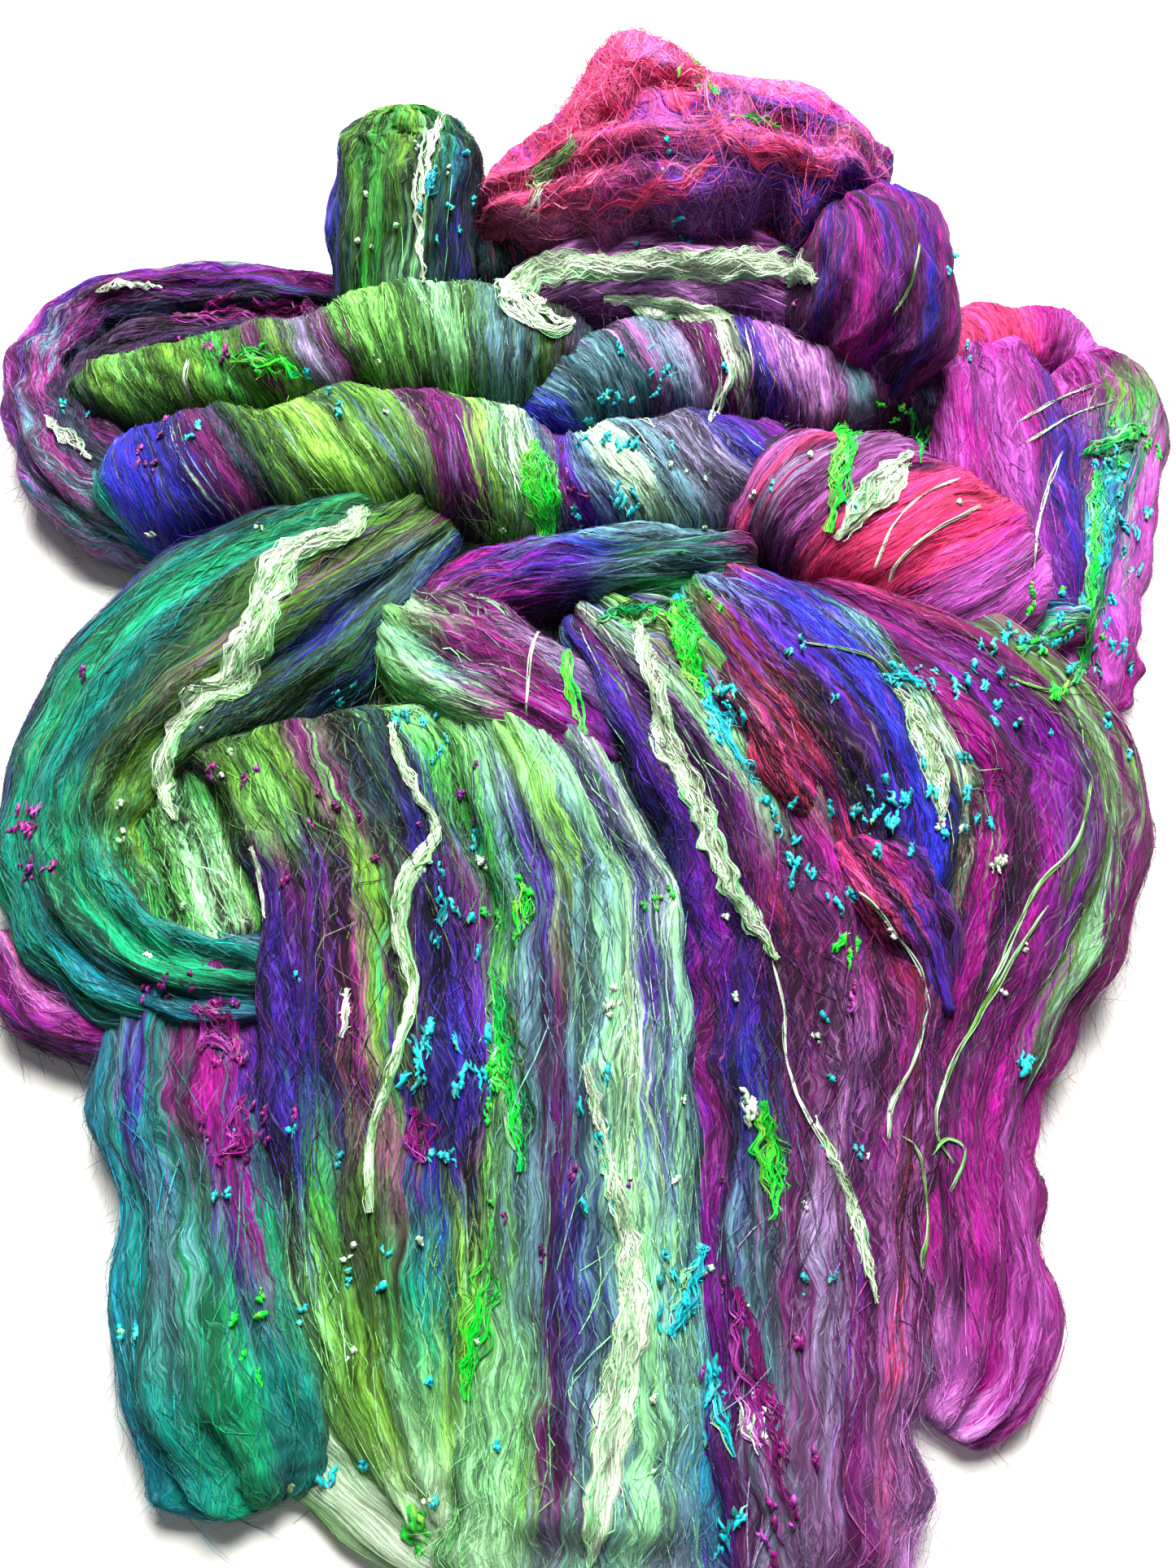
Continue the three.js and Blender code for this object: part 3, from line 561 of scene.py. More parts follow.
Fold("cup_green", "along", ridges=3, relief=1.2, rows=[
    (215, 930, 18, 16, 14), (235, 1000, 18, 28, 16), (258, 1080, 17, 31, 16), (285, 1160, 15, 28, 14),
], stages=[
    (0, "emerald 0 green 20 mint 34 deep_plum 50 plum 65 navy 80 moss 100"),
    (0.4, "teal 0 emerald 12 green 25 apple 38 mint 48 green 60 moss 70 plum 80 indigo 90 "
        "dark_olive 100"),
    (1, "teal 0 emerald 18 green 32 mint 46 pale_mint 56 apple 66 green 82 plum 100"),
])
Fold("tongue_pink", "along", ridges=2, relief=0.8, calm=0.3, rows=[
    (10, 1165, 6.5, 7, 8), (52, 1228, 8.5, 11, 10), (125, 1268, 8.5, 12, 10),
    (210, 1272, 8.5, 12, 10), (300, 1255, 8, 10, 9),
], stages=[
    (0, "indigo 0 magenta 15 plum 30 orchid 45 lilac 60 pink 75 lilac 100"),
    (0.5, "navy 0 purple 20 plum 35 magenta 50 orchid 66 lilac 80 orchid 100"),
    (1, "navy 0 blue_teal 25 violet 45 plum 65 magenta 80 teal 100"),
])
Fold("web_teal", "along", ridges=4, relief=1.6, fade=0.85, loose=1.5, calm=0.25, rows=[
    (250, 1210, 13, 29, 15), (246, 1310, 12, 31, 14), (252, 1400, 11, 29, 13),
    (266, 1500, 10, 28, 12), (277, 1610, 10, 30, 12), (300, 1710, 9, 32, 11), (322, 1785, 6.5, 28, 8),
    (335, 1835, 4, 18, 5),
], stages=[
    (0, "blue_teal 0 slate 15 violet 28 teal 40 magenta 55 plum 70 navy 85 deep_teal 100"),
    (0.25, "blue_teal 0 teal 15 indigo 27 teal 38 plum 50 magenta 62 violet 75 deep_plum 88 "
        "navy 100"),
    (0.5, "blue_teal 0 teal 20 slate 35 emerald 48 violet 58 plum 68 emerald 80 dark_olive 100"),
    (0.7, "blue_teal 0 teal 25 emerald 50 teal 70 moss 90 forest 100"),
    (1, "blue_teal 0 teal 20 emerald 45 deep_teal 65 teal 80 deep_teal 100"),
])
Fold("web_green", "along", ridges=4, relief=2.2, loose=1.35, fade=0.85, rows=[
    (400, 915, 31, 46, 15, 12), (438, 990, 30, 44, 18, 10), (466, 1072, 25, 42, 19, 4),
    (476, 1180, 21, 42, 19, 0), (482, 1290, 18, 41, 18, 0), (488, 1400, 16, 39, 16, 0),
    (494, 1520, 14, 36, 14, 0), (502, 1640, 12, 31, 12, 0), (518, 1740, 10, 24, 10, 0),
    (532, 1825, 7, 17, 7, 0), (545, 1880, 4, 9, 4, 0),
], stages=[
    (0, "deep_plum 0 moss 12 dark_olive 24 olive 36 plum 46 moss 56 deep_teal 64 apple 74 "
        "mint 88 apple 100"),
    (0.1, "forest 0 olive 12 apple 26 olive 38 plum 48 deep_teal 58 navy 66 indigo 74 green 84 "
        "apple 100"),
    (0.22, "plum 0 indigo 12 plum 22 violet 32 plum 42 olive 50 deep_plum 60 indigo 70 plum 80 "
        "green 90 slate 100"),
    (0.4, "deep_plum 0 violet 12 indigo 24 navy 34 magenta 44 olive 52 deep_plum 60 indigo 70 "
        "blue 78 purple 86 emerald 94 green 100"),
    (0.55, "navy 0 deep_plum 8 indigo 16 green 24 deep_plum 33 moss 42 plum 52 indigo 60 navy 70 "
        "plum 80 green 90 moss 100"),
    (0.67, "emerald 0 mint 12 apple 22 moss 34 olive 44 emerald 54 teal 62 lime 72 apple 82 "
        "green 92 mint 100"),
    (0.82, "apple 0 lime 14 olive 26 lime 38 mint 50 lime 64 mint 78 apple 90 mint 100"),
    (1, "mint 0 pale_mint 30 white 50 pale_mint 70 mint 100"),
])
Fold("web_mint", "along", ridges=3, relief=2.2, loose=1.35, fade=0.6, calm=0.2, rows=[
    (640, 900, 34, 26, 13, 0), (685, 1000, 33, 29, 20, 0), (722, 1100, 26, 34, 20, 0),
    (728, 1250, 20, 35, 19, 0), (725, 1400, 17, 35, 17, 0), (725, 1550, 15, 36, 15, 0),
    (728, 1700, 13, 37, 13, 0), (725, 1830, 11, 38, 11, 0), (722, 1930, 8, 36, 8, 0),
    (722, 2040, 4, 24, 4, 0),
], stages=[
    (0, "apple 0 mint 22 apple 42 mint 58 grey_violet 72 mint 86 slate 100"),
    (0.15, "emerald 0 green 12 slate 22 violet 32 lime 42 slate 52 mint 62 violet 70 pale_mint 80 "
        "slate 90 navy 100"),
    (0.35, "green 0 apple 12 slate 22 deep_plum 32 plum 40 slate 48 mint 56 pale_mint 63 "
        "violet 71 slate 79 mint 86 slate 92 navy 100"),
    (0.55, "green 0 apple 14 slate 27 deep_plum 38 indigo 46 slate 55 mint 64 slate 73 mint 80 "
        "slate 88 deep_teal 100"),
    (0.75, "green 0 mint 18 apple 28 plum 42 slate 54 mint 64 slate 76 blue_teal 88 violet 100"),
    (1, "mint 0 pale_mint 20 slate 40 mint 50 slate 62 grey_violet 75 slate 88 violet 100"),
])
Fold("web_plum", "along", ridges=4, relief=2.2, loose=1.35, fade=0.6, calm=0.15, rows=[
    (730, 768, 33, 14, 12), (800, 830, 37, 28, 18), (870, 910, 37, 34, 21), (930, 1000, 33, 38, 22),
    (968, 1100, 27, 41, 21), (990, 1200, 22, 43, 20), (995, 1310, 18, 41, 18),
    (988, 1430, 16, 38, 16), (985, 1560, 14, 36, 14), (985, 1700, 12, 34, 12),
    (985, 1830, 10, 31, 10), (985, 1930, 8, 27, 8), (975, 2035, 4, 16, 4),
], stages=[
    (0, "slate 0 indigo 15 plum 28 pale_mint 38 indigo 50 lime 60 navy 70 violet 82 mint 92 "
        "green 100"),
    (0.15, "navy 0 violet 14 deep_plum 24 purple 36 mint 46 plum 54 olive 62 emerald 72 plum 84 "
        "brick 92 indigo 100"),
    (0.32, "navy 0 indigo 10 purple 20 deep_plum 30 plum 42 deep_plum 52 magenta 60 plum 70 "
        "brick 80 plum 90 indigo 100"),
    (0.5, "violet 0 magenta 10 deep_plum 18 indigo 28 deep_plum 38 plum 46 mauve 56 deep_plum 66 "
        "plum 74 brick 80 mauve 85 plum 92 deep_plum 100"),
    (0.7, "blue 0 purple 12 deep_plum 24 slate 34 plum 46 grey_violet 56 plum 66 mauve 76 "
        "rose 80 mauve 84 plum 92 deep_plum 100"),
    (1, "slate 0 indigo 12 plum 26 grey_violet 40 mauve 55 plum 68 mauve 82 lilac 100"),
])
Fold("fan_indigo", "along", ridges=3, relief=1.8, rows=[
    (872, 742, 35, 18, 13), (940, 815, 42, 32, 20), (1008, 895, 42, 36, 23), (1058, 975, 37, 36, 23),
    (1085, 1060, 30, 31, 20), (1095, 1140, 23, 20, 14),
], stages=[
    (0, "emerald 0 turquoise 15 green 30 slate 45 plum 60 brick 70 indigo 82 navy 100"),
    (0.18, "plum 0 turquoise 8 brick 18 plum 28 brick 36 violet 46 indigo 56 blue 68 indigo 80 "
        "navy 90 plum 100"),
    (0.4, "brick 0 rose 10 plum 20 brick 28 deep_plum 36 plum 44 indigo 52 blue 62 indigo 72 "
        "mint 82 deep_plum 92 magenta 100"),
    (0.65, "plum 0 brick 12 rose 20 plum 28 deep_plum 40 indigo 52 blue 62 navy 74 pale_mint 84 "
        "plum 92 magenta 100"),
    (1, "navy 0 brick 20 rose 32 indigo 45 blue 60 deep_plum 75 plum 100"),
])
Fold("fan_magenta", "along", ridges=4, relief=2.2, fade=0.6, calm=0.35, rows=[
    (985, 752, 33, 18, 12), (1080, 812, 35, 33, 20), (1172, 885, 31, 41, 25), (1235, 970, 24, 44, 26),
    (1252, 1055, 21, 40, 24), (1238, 1145, 17, 34, 20), (1212, 1235, 14, 27, 16),
    (1185, 1325, 11, 23, 13), (1172, 1415, 10, 22, 12), (1182, 1505, 10, 23, 12),
    (1190, 1600, 8.5, 24, 10), (1178, 1690, 6, 21, 7), (1150, 1742, 3.5, 11, 4),
], stages=[
    (0, "indigo 0 blue 18 plum 30 magenta 42 plum 54 hot_pink 62 plum 70 magenta 82 plum 90 "
        "magenta 100"),
    (0.18, "navy 0 indigo 12 mint 20 plum 28 magenta 38 deep_plum 48 purple 56 plum 66 olive 76 "
        "plum 84 magenta 92 plum 100"),
    (0.38, "deep_plum 0 indigo 12 plum 24 magenta 34 deep_plum 44 plum 54 purple 62 olive 72 "
        "mint 76 plum 84 magenta 100"),
    (0.58, "deep_plum 0 plum 18 magenta 30 deep_plum 42 plum 52 magenta 62 deep_plum 72 plum 84 "
        "magenta 100"),
    (0.78, "plum 0 magenta 20 deep_plum 38 magenta 52 plum 66 orchid 80 magenta 100"),
    (0.92, "magenta 0 lilac 20 orchid 45 magenta 62 orchid 80 magenta 100"),
    (1, "lilac 0 orchid 30 lilac 60 orchid 100"),
])
Fold("flap_red", "along", ridges=2, relief=1, rows=[
    (1045, 1035, 46, 9, 6), (1080, 1072, 45, 15, 8), (1108, 1112, 40, 15, 9), (1132, 1165, 32, 10, 9),
    (1150, 1232, 22, 5, 7),
], stages=[
    (0, "indigo 0 rose 20 red 38 plum 52 red 66 indigo 82 navy 100"),
    (0.5, "plum 0 rose 18 mauve 30 rose 44 indigo 60 plum 78 violet 100"),
    (1, "navy 0 indigo 20 blue 45 violet 65 indigo 85 magenta 100"),
])

# Colours of the silk strips, the locks and the nepps, as shares of their streaks.
STREAKS = {
    "silk_pale": "mint 0 pale_mint 12 apple 20 pale_mint 28 white 40 "
                 "pale_mint 50 olive 57 mint 63 white 76 pale_mint 100",
    "silk_shelf": "white 0 pale_mint 22 white 40 pale_mint 58 white 78 mint 100",
    "silk_mint": "pale_mint 0 white 14 pale_mint 24 white 36 pale_mint 48 "
                 "mint 57 white 70 pale_mint 86 mint 100",
    "silk_cream": "mint 0 pale_mint 14 plum 21 pale_mint 28 white 40 "
                  "pale_mint 52 olive 59 pale_mint 66 white 80 mint 100",
    "lock_neon": "green 0 neon 30 neon 60 lime 85 neon 100",
    "lock_turquoise": "turquoise 0 teal 12 turquoise 30 turquoise 80 mint 100",
    "lock_magenta": "plum 0 magenta 25 plum 45 magenta 65 orchid 85 purple 100",
    "lock_white": "mint 0 white 30 white 70 pale_mint 100",
    "lock_orchid": "purple 0 orchid 40 lilac 70 white 100",
    "lock_emerald": "forest 0 emerald 35 neon 70 mint 100",
    "lock_pink": "rose 0 pink 25 hot_pink 50 rose 62 pink 80 rose 100",
    "lock_sheer": "moss 0 mint 30 apple 50 pale_mint 75 lilac 100",
    "thread_olive": "olive 0 mint 35 pale_mint 60 olive 100",
}

# Each strip of silk is seen at px and py and is twice half wide. It lies on its own solid's place.
SILKS = [
    ("silk_swath", "silk_pale", 90, 2.3, [
        (440, 622, 2.6), (430, 652, 3.2), (352, 684, 4.8), (324, 755, 6), (290, 826, 5.6),
        (250, 866, 4.4), (214, 908, 3.2), (198, 955, 3.6), (214, 1010, 2.4),
    ]),
    ("silk_green", "silk_pale", 60, 1.8, [
        (480, 892, 2.2), (500, 955, 1.6), (535, 1020, 1.5), (502, 1080, 3.2), (492, 1150, 2.6),
        (508, 1222, 1.7), (478, 1330, 1.5), (456, 1400, 1.4), (458, 1490, 1.3),
    ]),
    ("silk_shelf_top", "silk_shelf", 120, 2.6, [
        (618, 372, 6), (664, 334, 6.5), (750, 326, 4.6), (830, 324, 4.6), (900, 322, 5),
        (1000, 338, 5),
    ]),
    ("silk_shelf_front", "silk_shelf", 60, 2.2, [(742, 364, 3), (830, 376, 3), (918, 386, 3)]),
    ("silk_crest", "silk_cream", 70, 2, [
        (784, 768, 2.6), (816, 880, 3.4), (850, 980, 3.6), (892, 1070, 3), (926, 1135, 2.8),
        (952, 1180, 2.2),
    ]),
    ("silk_mint", "silk_mint", 80, 2, [
        (724, 1308, 1.4), (748, 1440, 2), (776, 1550, 3.2), (774, 1650, 4.4), (748, 1780, 4.8),
        (726, 1925, 4.4),
    ]),
    ("silk_plum", "silk_cream", 34, 1.4, [(1002, 1372, 1.2), (1042, 1470, 1.7), (1078, 1600, 1.5)]),
    ("silk_roll", "silk_mint", 80, 2.2, [(1118, 558, 5), (1078, 604, 5.5), (1028, 664, 3.4)]),
    ("silk_fan", "silk_cream", 50, 1.8, [(1098, 850, 3), (1136, 900, 4), (1158, 1010, 4)]),
]

# Locks: colour, how many strands, crimp and pitch of their waves, how high they lie, how frayed
# their ends are, and where they are seen.
LOCKS = [
    ("lock_white", 40, 1.1, 6, 1.6, 3, [(60, 512, 3), (84, 540, 3), (112, 566, 2.5)]),
    ("lock_white", 26, 0.8, 5, 1.2, 2, [(118, 358, 4), (150, 351, 4), (200, 354, 3)]),
    ("lock_neon", 130, 0.9, 5, 2.2, 4, [(655, 545, 6), (664, 595, 7), (672, 655, 7)]),
    ("lock_neon", 34, 1.8, 14, 1.5, 6, [(285, 440, 5), (330, 447, 6), (375, 462, 5)]),
    ("lock_neon", 80, 0.8, 5, 1.8, 4, [(838, 738, 7), (845, 790, 5), (868, 860, 3)]),
    ("lock_emerald", 50, 0.9, 6, 1.2, 3, [(735, 765, 4), (790, 752, 4), (850, 740, 4)]),
    ("lock_neon", 30, 0.6, 7, 1, 2, [(700, 800, 2), (702, 850, 3), (722, 905, 2.5)]),
    ("lock_turquoise", 50, 0.9, 7, 1.6, 4, [(862, 828, 3), (880, 880, 4), (905, 935, 2.5), (935, 975, 1.5)]),
    ("lock_turquoise", 55, 0.9, 7, 1.6, 5, [(868, 1530, 4), (850, 1580, 5), (822, 1640, 3)]),
    ("lock_neon", 60, 0.8, 6, 1.6, 4, [(935, 1352, 4), (946, 1420, 5), (950, 1500, 4)]),
    ("lock_emerald", 60, 0.9, 7, 1.4, 4, [(606, 1190, 4), (618, 1270, 5), (634, 1360, 4), (638, 1440, 3)]),
    ("lock_neon", 40, 0.7, 8, 1.2, 4, [(606, 1500, 3), (592, 1600, 4), (575, 1720, 3)]),
    ("lock_neon", 30, 0.8, 6, 1.4, 3, [(640, 1080, 3), (645, 1110, 4), (640, 1150, 3)]),
    ("lock_magenta", 60, 1, 8, 1.6, 4, [(212, 392, 4), (290, 386, 6), (385, 384, 5)]),
    ("lock_magenta", 70, 1, 7, 1.8, 4, [(235, 1240, 5), (268, 1262, 7), (290, 1300, 5)]),
    ("lock_magenta", 50, 1, 7, 1.6, 4, [(300, 1345, 4), (288, 1390, 6), (270, 1430, 4)]),
    ("lock_magenta", 40, 1, 7, 1.6, 4, [(505, 1360, 4), (512, 1390, 5), (520, 1430, 4)]),
    ("lock_orchid", 30, 1, 7, 1.4, 4, [(912, 1715, 3), (925, 1750, 4), (932, 1790, 3)]),
    ("lock_magenta", 40, 1, 7, 1.6, 4, [(905, 1580, 3), (915, 1650, 4), (945, 1760, 4), (975, 1860, 3)]),
    ("lock_white", 24, 0.7, 6, 1.4, 3, [(520, 160, 2), (510, 215, 2.5), (515, 280, 2), (520, 350, 1.5)]),
    ("lock_white", 30, 0.6, 8, 1.2, 3, [(545, 138, 2), (530, 190, 3), (520, 240, 2.5)]),
    ("lock_turquoise", 30, 0.9, 6, 1.5, 3, [(538, 205, 2), (530, 225, 3), (522, 246, 2)]),
    ("lock_neon", 60, 0.9, 9, 1.5, 4, [(1038, 528, 4), (1040, 575, 5), (1020, 655, 3)]),
    ("lock_emerald", 60, 0.9, 8, 1.5, 4, [(1405, 525, 3), (1370, 545, 4), (1325, 560, 3)]),
    ("lock_turquoise", 40, 0.9, 7, 1.4, 4, [(1352, 610, 3), (1358, 660, 4), (1340, 720, 3)]),
    ("lock_emerald", 60, 0.9, 8, 1.4, 4, [(1345, 580, 3), (1352, 640, 4), (1340, 760, 4), (1318, 840, 3)]),
    ("lock_emerald", 40, 0.9, 8, 1.4, 4, [(1322, 770, 3), (1290, 785, 4), (1250, 800, 3)]),
    ("lock_neon", 40, 1.2, 9, 1.6, 6, [(842, 66, 2.5), (858, 90, 3), (880, 120, 2.5)]),
    ("lock_neon", 24, 1, 8, 1.4, 4, [(895, 146, 2.5), (930, 150, 2.5), (960, 158, 2)]),
    ("lock_pink", 40, 2.6, 14, 3, 4, [(716, 190, 8), (738, 112, 9), (790, 84, 7)]),
    ("lock_pink", 40, 2.6, 14, 3, 4, [(770, 92, 8), (836, 104, 8), (884, 160, 7)]),
    ("lock_pink", 30, 2.2, 18, 2, 3, [(640, 250, 8), (700, 222, 10), (760, 204, 9)]),
    ("lock_pink", 30, 2, 20, 2, 3, [(720, 262, 9), (800, 240, 9), (880, 200, 8)]),
    ("lock_pink", 30, 1.8, 20, 2, 3, [(890, 172, 8), (960, 190, 8), (1026, 216, 6)]),
    ("silk_shelf", 90, 0.8, 11, 2.5, 3, [(626, 346, 6), (642, 378, 9), (676, 402, 7), (704, 396, 4)]),
    ("silk_shelf", 50, 1.3, 8, 3, 4, [(896, 320, 4), (960, 322, 5), (1006, 346, 5)]),
    ("lock_sheer", 30, 2.4, 22, 3, 6, [(650, 262, 5), (672, 212, 6), (706, 168, 5)]),
    ("lock_white", 26, 0.5, 12, 1.2, 3, [(880, 412, 2.5), (895, 460, 2), (872, 520, 1.5)]),
    ("lock_emerald", 30, 0.5, 12, 1.2, 3, [(1118, 500, 3), (1128, 535, 3), (1130, 570, 2)]),
    ("lock_white", 34, 0.5, 10, 1.2, 3, [(425, 1215, 2), (422, 1250, 2.5), (415, 1275, 2)]),
    ("lock_white", 30, 0.5, 10, 1.2, 3, [(310, 1040, 2.5), (320, 1075, 3), (328, 1130, 2)]),
    ("lock_turquoise", 26, 0.9, 7, 1.4, 3, [(540, 1090, 1.5), (541, 1115, 2.5), (540, 1140, 1.5)]),
    ("lock_turquoise", 30, 0.9, 7, 1.4, 3, [(735, 1350, 2), (742, 1420, 2.5), (752, 1490, 2)]),
    ("lock_turquoise", 30, 0.9, 7, 1.4, 3, [(875, 1690, 2), (885, 1740, 2.5), (900, 1790, 1.5)]),
    ("lock_turquoise", 26, 0.9, 7, 1.4, 3, [(1075, 830, 2), (1110, 832, 2), (1160, 850, 2)]),
]

# Patches of nepps: where the middle is seen, how wide and high, how many, and how long they are.
NEPPS = {
    "lock_turquoise": [
        (560, 215, 60, 90, 12, 3), (820, 190, 30, 30, 3, 3), (840, 290, 120, 50, 5, 2.5),
        (960, 300, 40, 20, 3, 2.5), (790, 470, 90, 60, 12, 3), (770, 500, 30, 50, 5, 4),
        (765, 545, 50, 10, 9, 5), (768, 590, 16, 60, 5, 6), (385, 475, 30, 20, 4, 3),
        (415, 508, 8, 8, 3, 3), (230, 530, 30, 20, 4, 3), (95, 505, 20, 20, 3, 3),
        (420, 850, 20, 16, 4, 3), (505, 885, 50, 10, 8, 4), (535, 930, 16, 40, 4, 4),
        (585, 1025, 12, 20, 3, 4), (560, 1130, 40, 60, 6, 4), (510, 1300, 20, 60, 7, 7),
        (580, 1310, 50, 60, 9, 6), (550, 1420, 30, 40, 4, 3), (1110, 830, 100, 20, 12, 5),
        (1190, 860, 60, 40, 7, 4), (1085, 1000, 60, 40, 10, 5), (1120, 975, 30, 50, 8, 5),
        (1170, 960, 30, 60, 6, 5), (1048, 1095, 24, 30, 4, 5), (880, 880, 30, 70, 8, 6),
        (905, 850, 20, 16, 4, 4), (960, 1010, 40, 60, 6, 5), (985, 1060, 20, 30, 4, 4),
        (1360, 640, 40, 100, 12, 6), (1390, 700, 20, 80, 6, 5), (1345, 800, 70, 60, 10, 5),
        (1250, 800, 60, 40, 12, 4), (1290, 770, 40, 20, 6, 4), (1365, 890, 60, 40, 5, 5),
        (1265, 1300, 16, 20, 4, 5), (735, 1400, 20, 80, 5, 5), (830, 1600, 30, 60, 6, 5),
        (880, 1720, 16, 60, 5, 6), (1185, 425, 16, 30, 3, 3), (1165, 335, 10, 20, 2, 3),
        (950, 590, 8, 8, 1, 3), (1045, 617, 8, 8, 2, 3), (710, 640, 16, 20, 3, 4),
        (160, 1640, 10, 10, 2, 4), (410, 1820, 10, 10, 2, 4), (896, 1885, 12, 40, 4, 6),
        (1190, 1000, 30, 30, 4, 5), (980, 795, 20, 12, 4, 3), (730, 540, 30, 8, 4, 4),
        (1370, 575, 60, 20, 5, 4), (520, 1700, 200, 200, 8, 2.5), (300, 1500, 120, 200, 6, 2.5),
        (1000, 1500, 200, 300, 6, 2.5),
    ],
    "lock_magenta": [
        (175, 560, 20, 60, 5, 4), (200, 530, 30, 30, 3, 4), (250, 432, 40, 20, 5, 4),
        (35, 1010, 20, 50, 7, 5), (45, 1060, 30, 20, 5, 5), (400, 1020, 60, 60, 6, 3),
        (300, 960, 60, 40, 4, 3), (705, 610, 30, 40, 5, 5), (260, 1280, 60, 40, 8, 4),
        (300, 1400, 60, 60, 8, 4), (640, 1500, 200, 100, 5, 2.5), (900, 1650, 60, 200, 8, 4),
        (960, 1830, 40, 80, 8, 5), (1050, 1220, 20, 20, 3, 4), (200, 1210, 120, 30, 6, 3),
        (800, 380, 200, 40, 5, 3), (140, 740, 8, 8, 2, 4), (105, 828, 14, 6, 2, 4),
        (560, 1000, 100, 60, 4, 3),
    ],
    "lock_white": [
        (920, 1362, 16, 12, 5, 5), (1232, 1065, 10, 14, 3, 4), (585, 1054, 10, 8, 2, 3),
        (925, 1740, 20, 40, 5, 5), (745, 1225, 12, 20, 3, 4), (1165, 1015, 16, 10, 2, 4),
        (730, 315, 20, 10, 3, 4), (470, 500, 8, 8, 1, 3), (500, 300, 200, 200, 8, 2),
        (800, 600, 300, 100, 10, 2), (900, 1400, 400, 400, 10, 2), (300, 1000, 200, 200, 8, 2),
        (240, 660, 60, 20, 2, 3), (610, 1600, 300, 300, 6, 2), (1200, 1300, 150, 300, 6, 2),
    ],
    "lock_neon": [
        (620, 1100, 40, 80, 6, 4), (600, 1350, 40, 120, 7, 4), (830, 760, 60, 30, 6, 4),
        (300, 1620, 60, 80, 5, 3), (1040, 1170, 20, 40, 4, 5), (860, 80, 30, 40, 5, 5),
        (1110, 505, 40, 30, 5, 4), (1380, 540, 60, 40, 8, 5), (1300, 790, 80, 60, 8, 5),
        (800, 1100, 60, 40, 3, 3), (330, 445, 60, 20, 5, 4), (520, 1880, 20, 40, 5, 6),
    ],
}

# Threads, by where they are seen.
THREADS = [
    ("thread_olive", [(1288, 1112), (1232, 1200), (1185, 1280), (1160, 1330), (1150, 1390), (1172, 1430)]),
    ("thread_olive", [(1108, 1395), (1130, 1420), (1138, 1490), (1133, 1560)]),
    ("thread_olive", [(1145, 1420), (1160, 1400), (1185, 1410), (1180, 1440), (1168, 1465)]),
    ("lock_white", [(232, 444), (229, 470), (238, 492)]),
    ("lock_white", [(232, 443), (226, 465), (234, 494)]),
    ("lock_white", [(948, 1180), (962, 1240), (968, 1305), (989, 1363), (1026, 1435)]),
    ("lock_white", [(1306, 555), (1280, 620), (1268, 700)]),
    ("lock_white", [(1180, 590), (1130, 612), (1095, 650), (1075, 700)]),
    ("lock_white", [(1205, 622), (1150, 650), (1105, 690), (1093, 716)]),
    ("lock_white", [(648, 880), (652, 800), (668, 770)]),
    ("thread_olive", [(1100, 840), (1075, 812), (1040, 800), (985, 790)]),
    ("thread_olive", [(1095, 388), (1118, 350), (1130, 300)]),
    ("silk_cream", [(1140, 1240), (1125, 1180), (1070, 1110), (1040, 1090)]),
    ("silk_cream", [(1140, 1240), (1120, 1310), (1095, 1360), (1092, 1400)]),
    ("thread_olive", [(1340, 960), (1320, 1040), (1270, 1100), (1215, 1220)]),
    ("silk_cream", [(1250, 520), (1300, 492), (1345, 472)]),
    ("silk_cream", [(1260, 545), (1310, 515), (1372, 492)]),
    ("thread_olive", [(1235, 830), (1300, 850), (1340, 815)]),
    ("lock_orchid", [(915, 400), (925, 450), (912, 500)]),
]


def between(values, at):
    """A smooth value between the rows of a table, passing through each of them."""
    last = len(values) - 1
    i = np.clip(np.floor(at).astype(int), 0, last - 1)
    f = at - i
    if values.ndim > 1:
        f = f[..., None]
    before, start = values[np.maximum(i - 1, 0)], values[i]
    stop, after = values[i + 1], values[np.minimum(i + 2, last)]
    bend = 2 * before - 5 * start + 4 * stop - after
    turn = 3 * start - before - 3 * stop + after
    return 0.5 * (2 * start + (stop - before) * f + bend * f**2 + turn * f**3)


def unit(vectors):
    return vectors / np.maximum(np.linalg.norm(vectors, axis=-1), 1e-9)[..., None]


def squared(value):
    return np.sign(value) * np.abs(value) ** SQUARENESS


def frame_at(fold, at):
    """The middle of a section, its width's and its height's direction, and its way along."""
    ahead = between(fold.middles, np.minimum(at + SPINE_STEP, fold.last))
    along = unit(ahead - between(fold.middles, np.maximum(at - SPINE_STEP, 0)))
    if fold.turn is None:
        across = unit(np.stack([along[..., 1], -along[..., 0], 0 * at], -1))
    else:
        turn = between(fold.turn, at)
        across = np.stack([np.cos(turn), np.sin(turn), 0 * at], -1)
        ahead = fold.middles[1] - fold.middles[0]
        across *= np.sign(math.cos(fold.turn[0]) * ahead[1] - math.sin(fold.turn[0]) * ahead[0])
    return between(fold.middles, at), across, unit(np.cross(across, along)), along


def fibre_share(fold, at, angle):
    """Where a place on a fold is in the blend, from 0 to 1. It is the same all along a fibre."""
    part = at / fold.last
    if fold.wool == "along":
        return (1 - np.cos(angle)) / 2 + fold.lean * (part - 0.5)
    return part - fold.lean * np.cos(angle) / 2


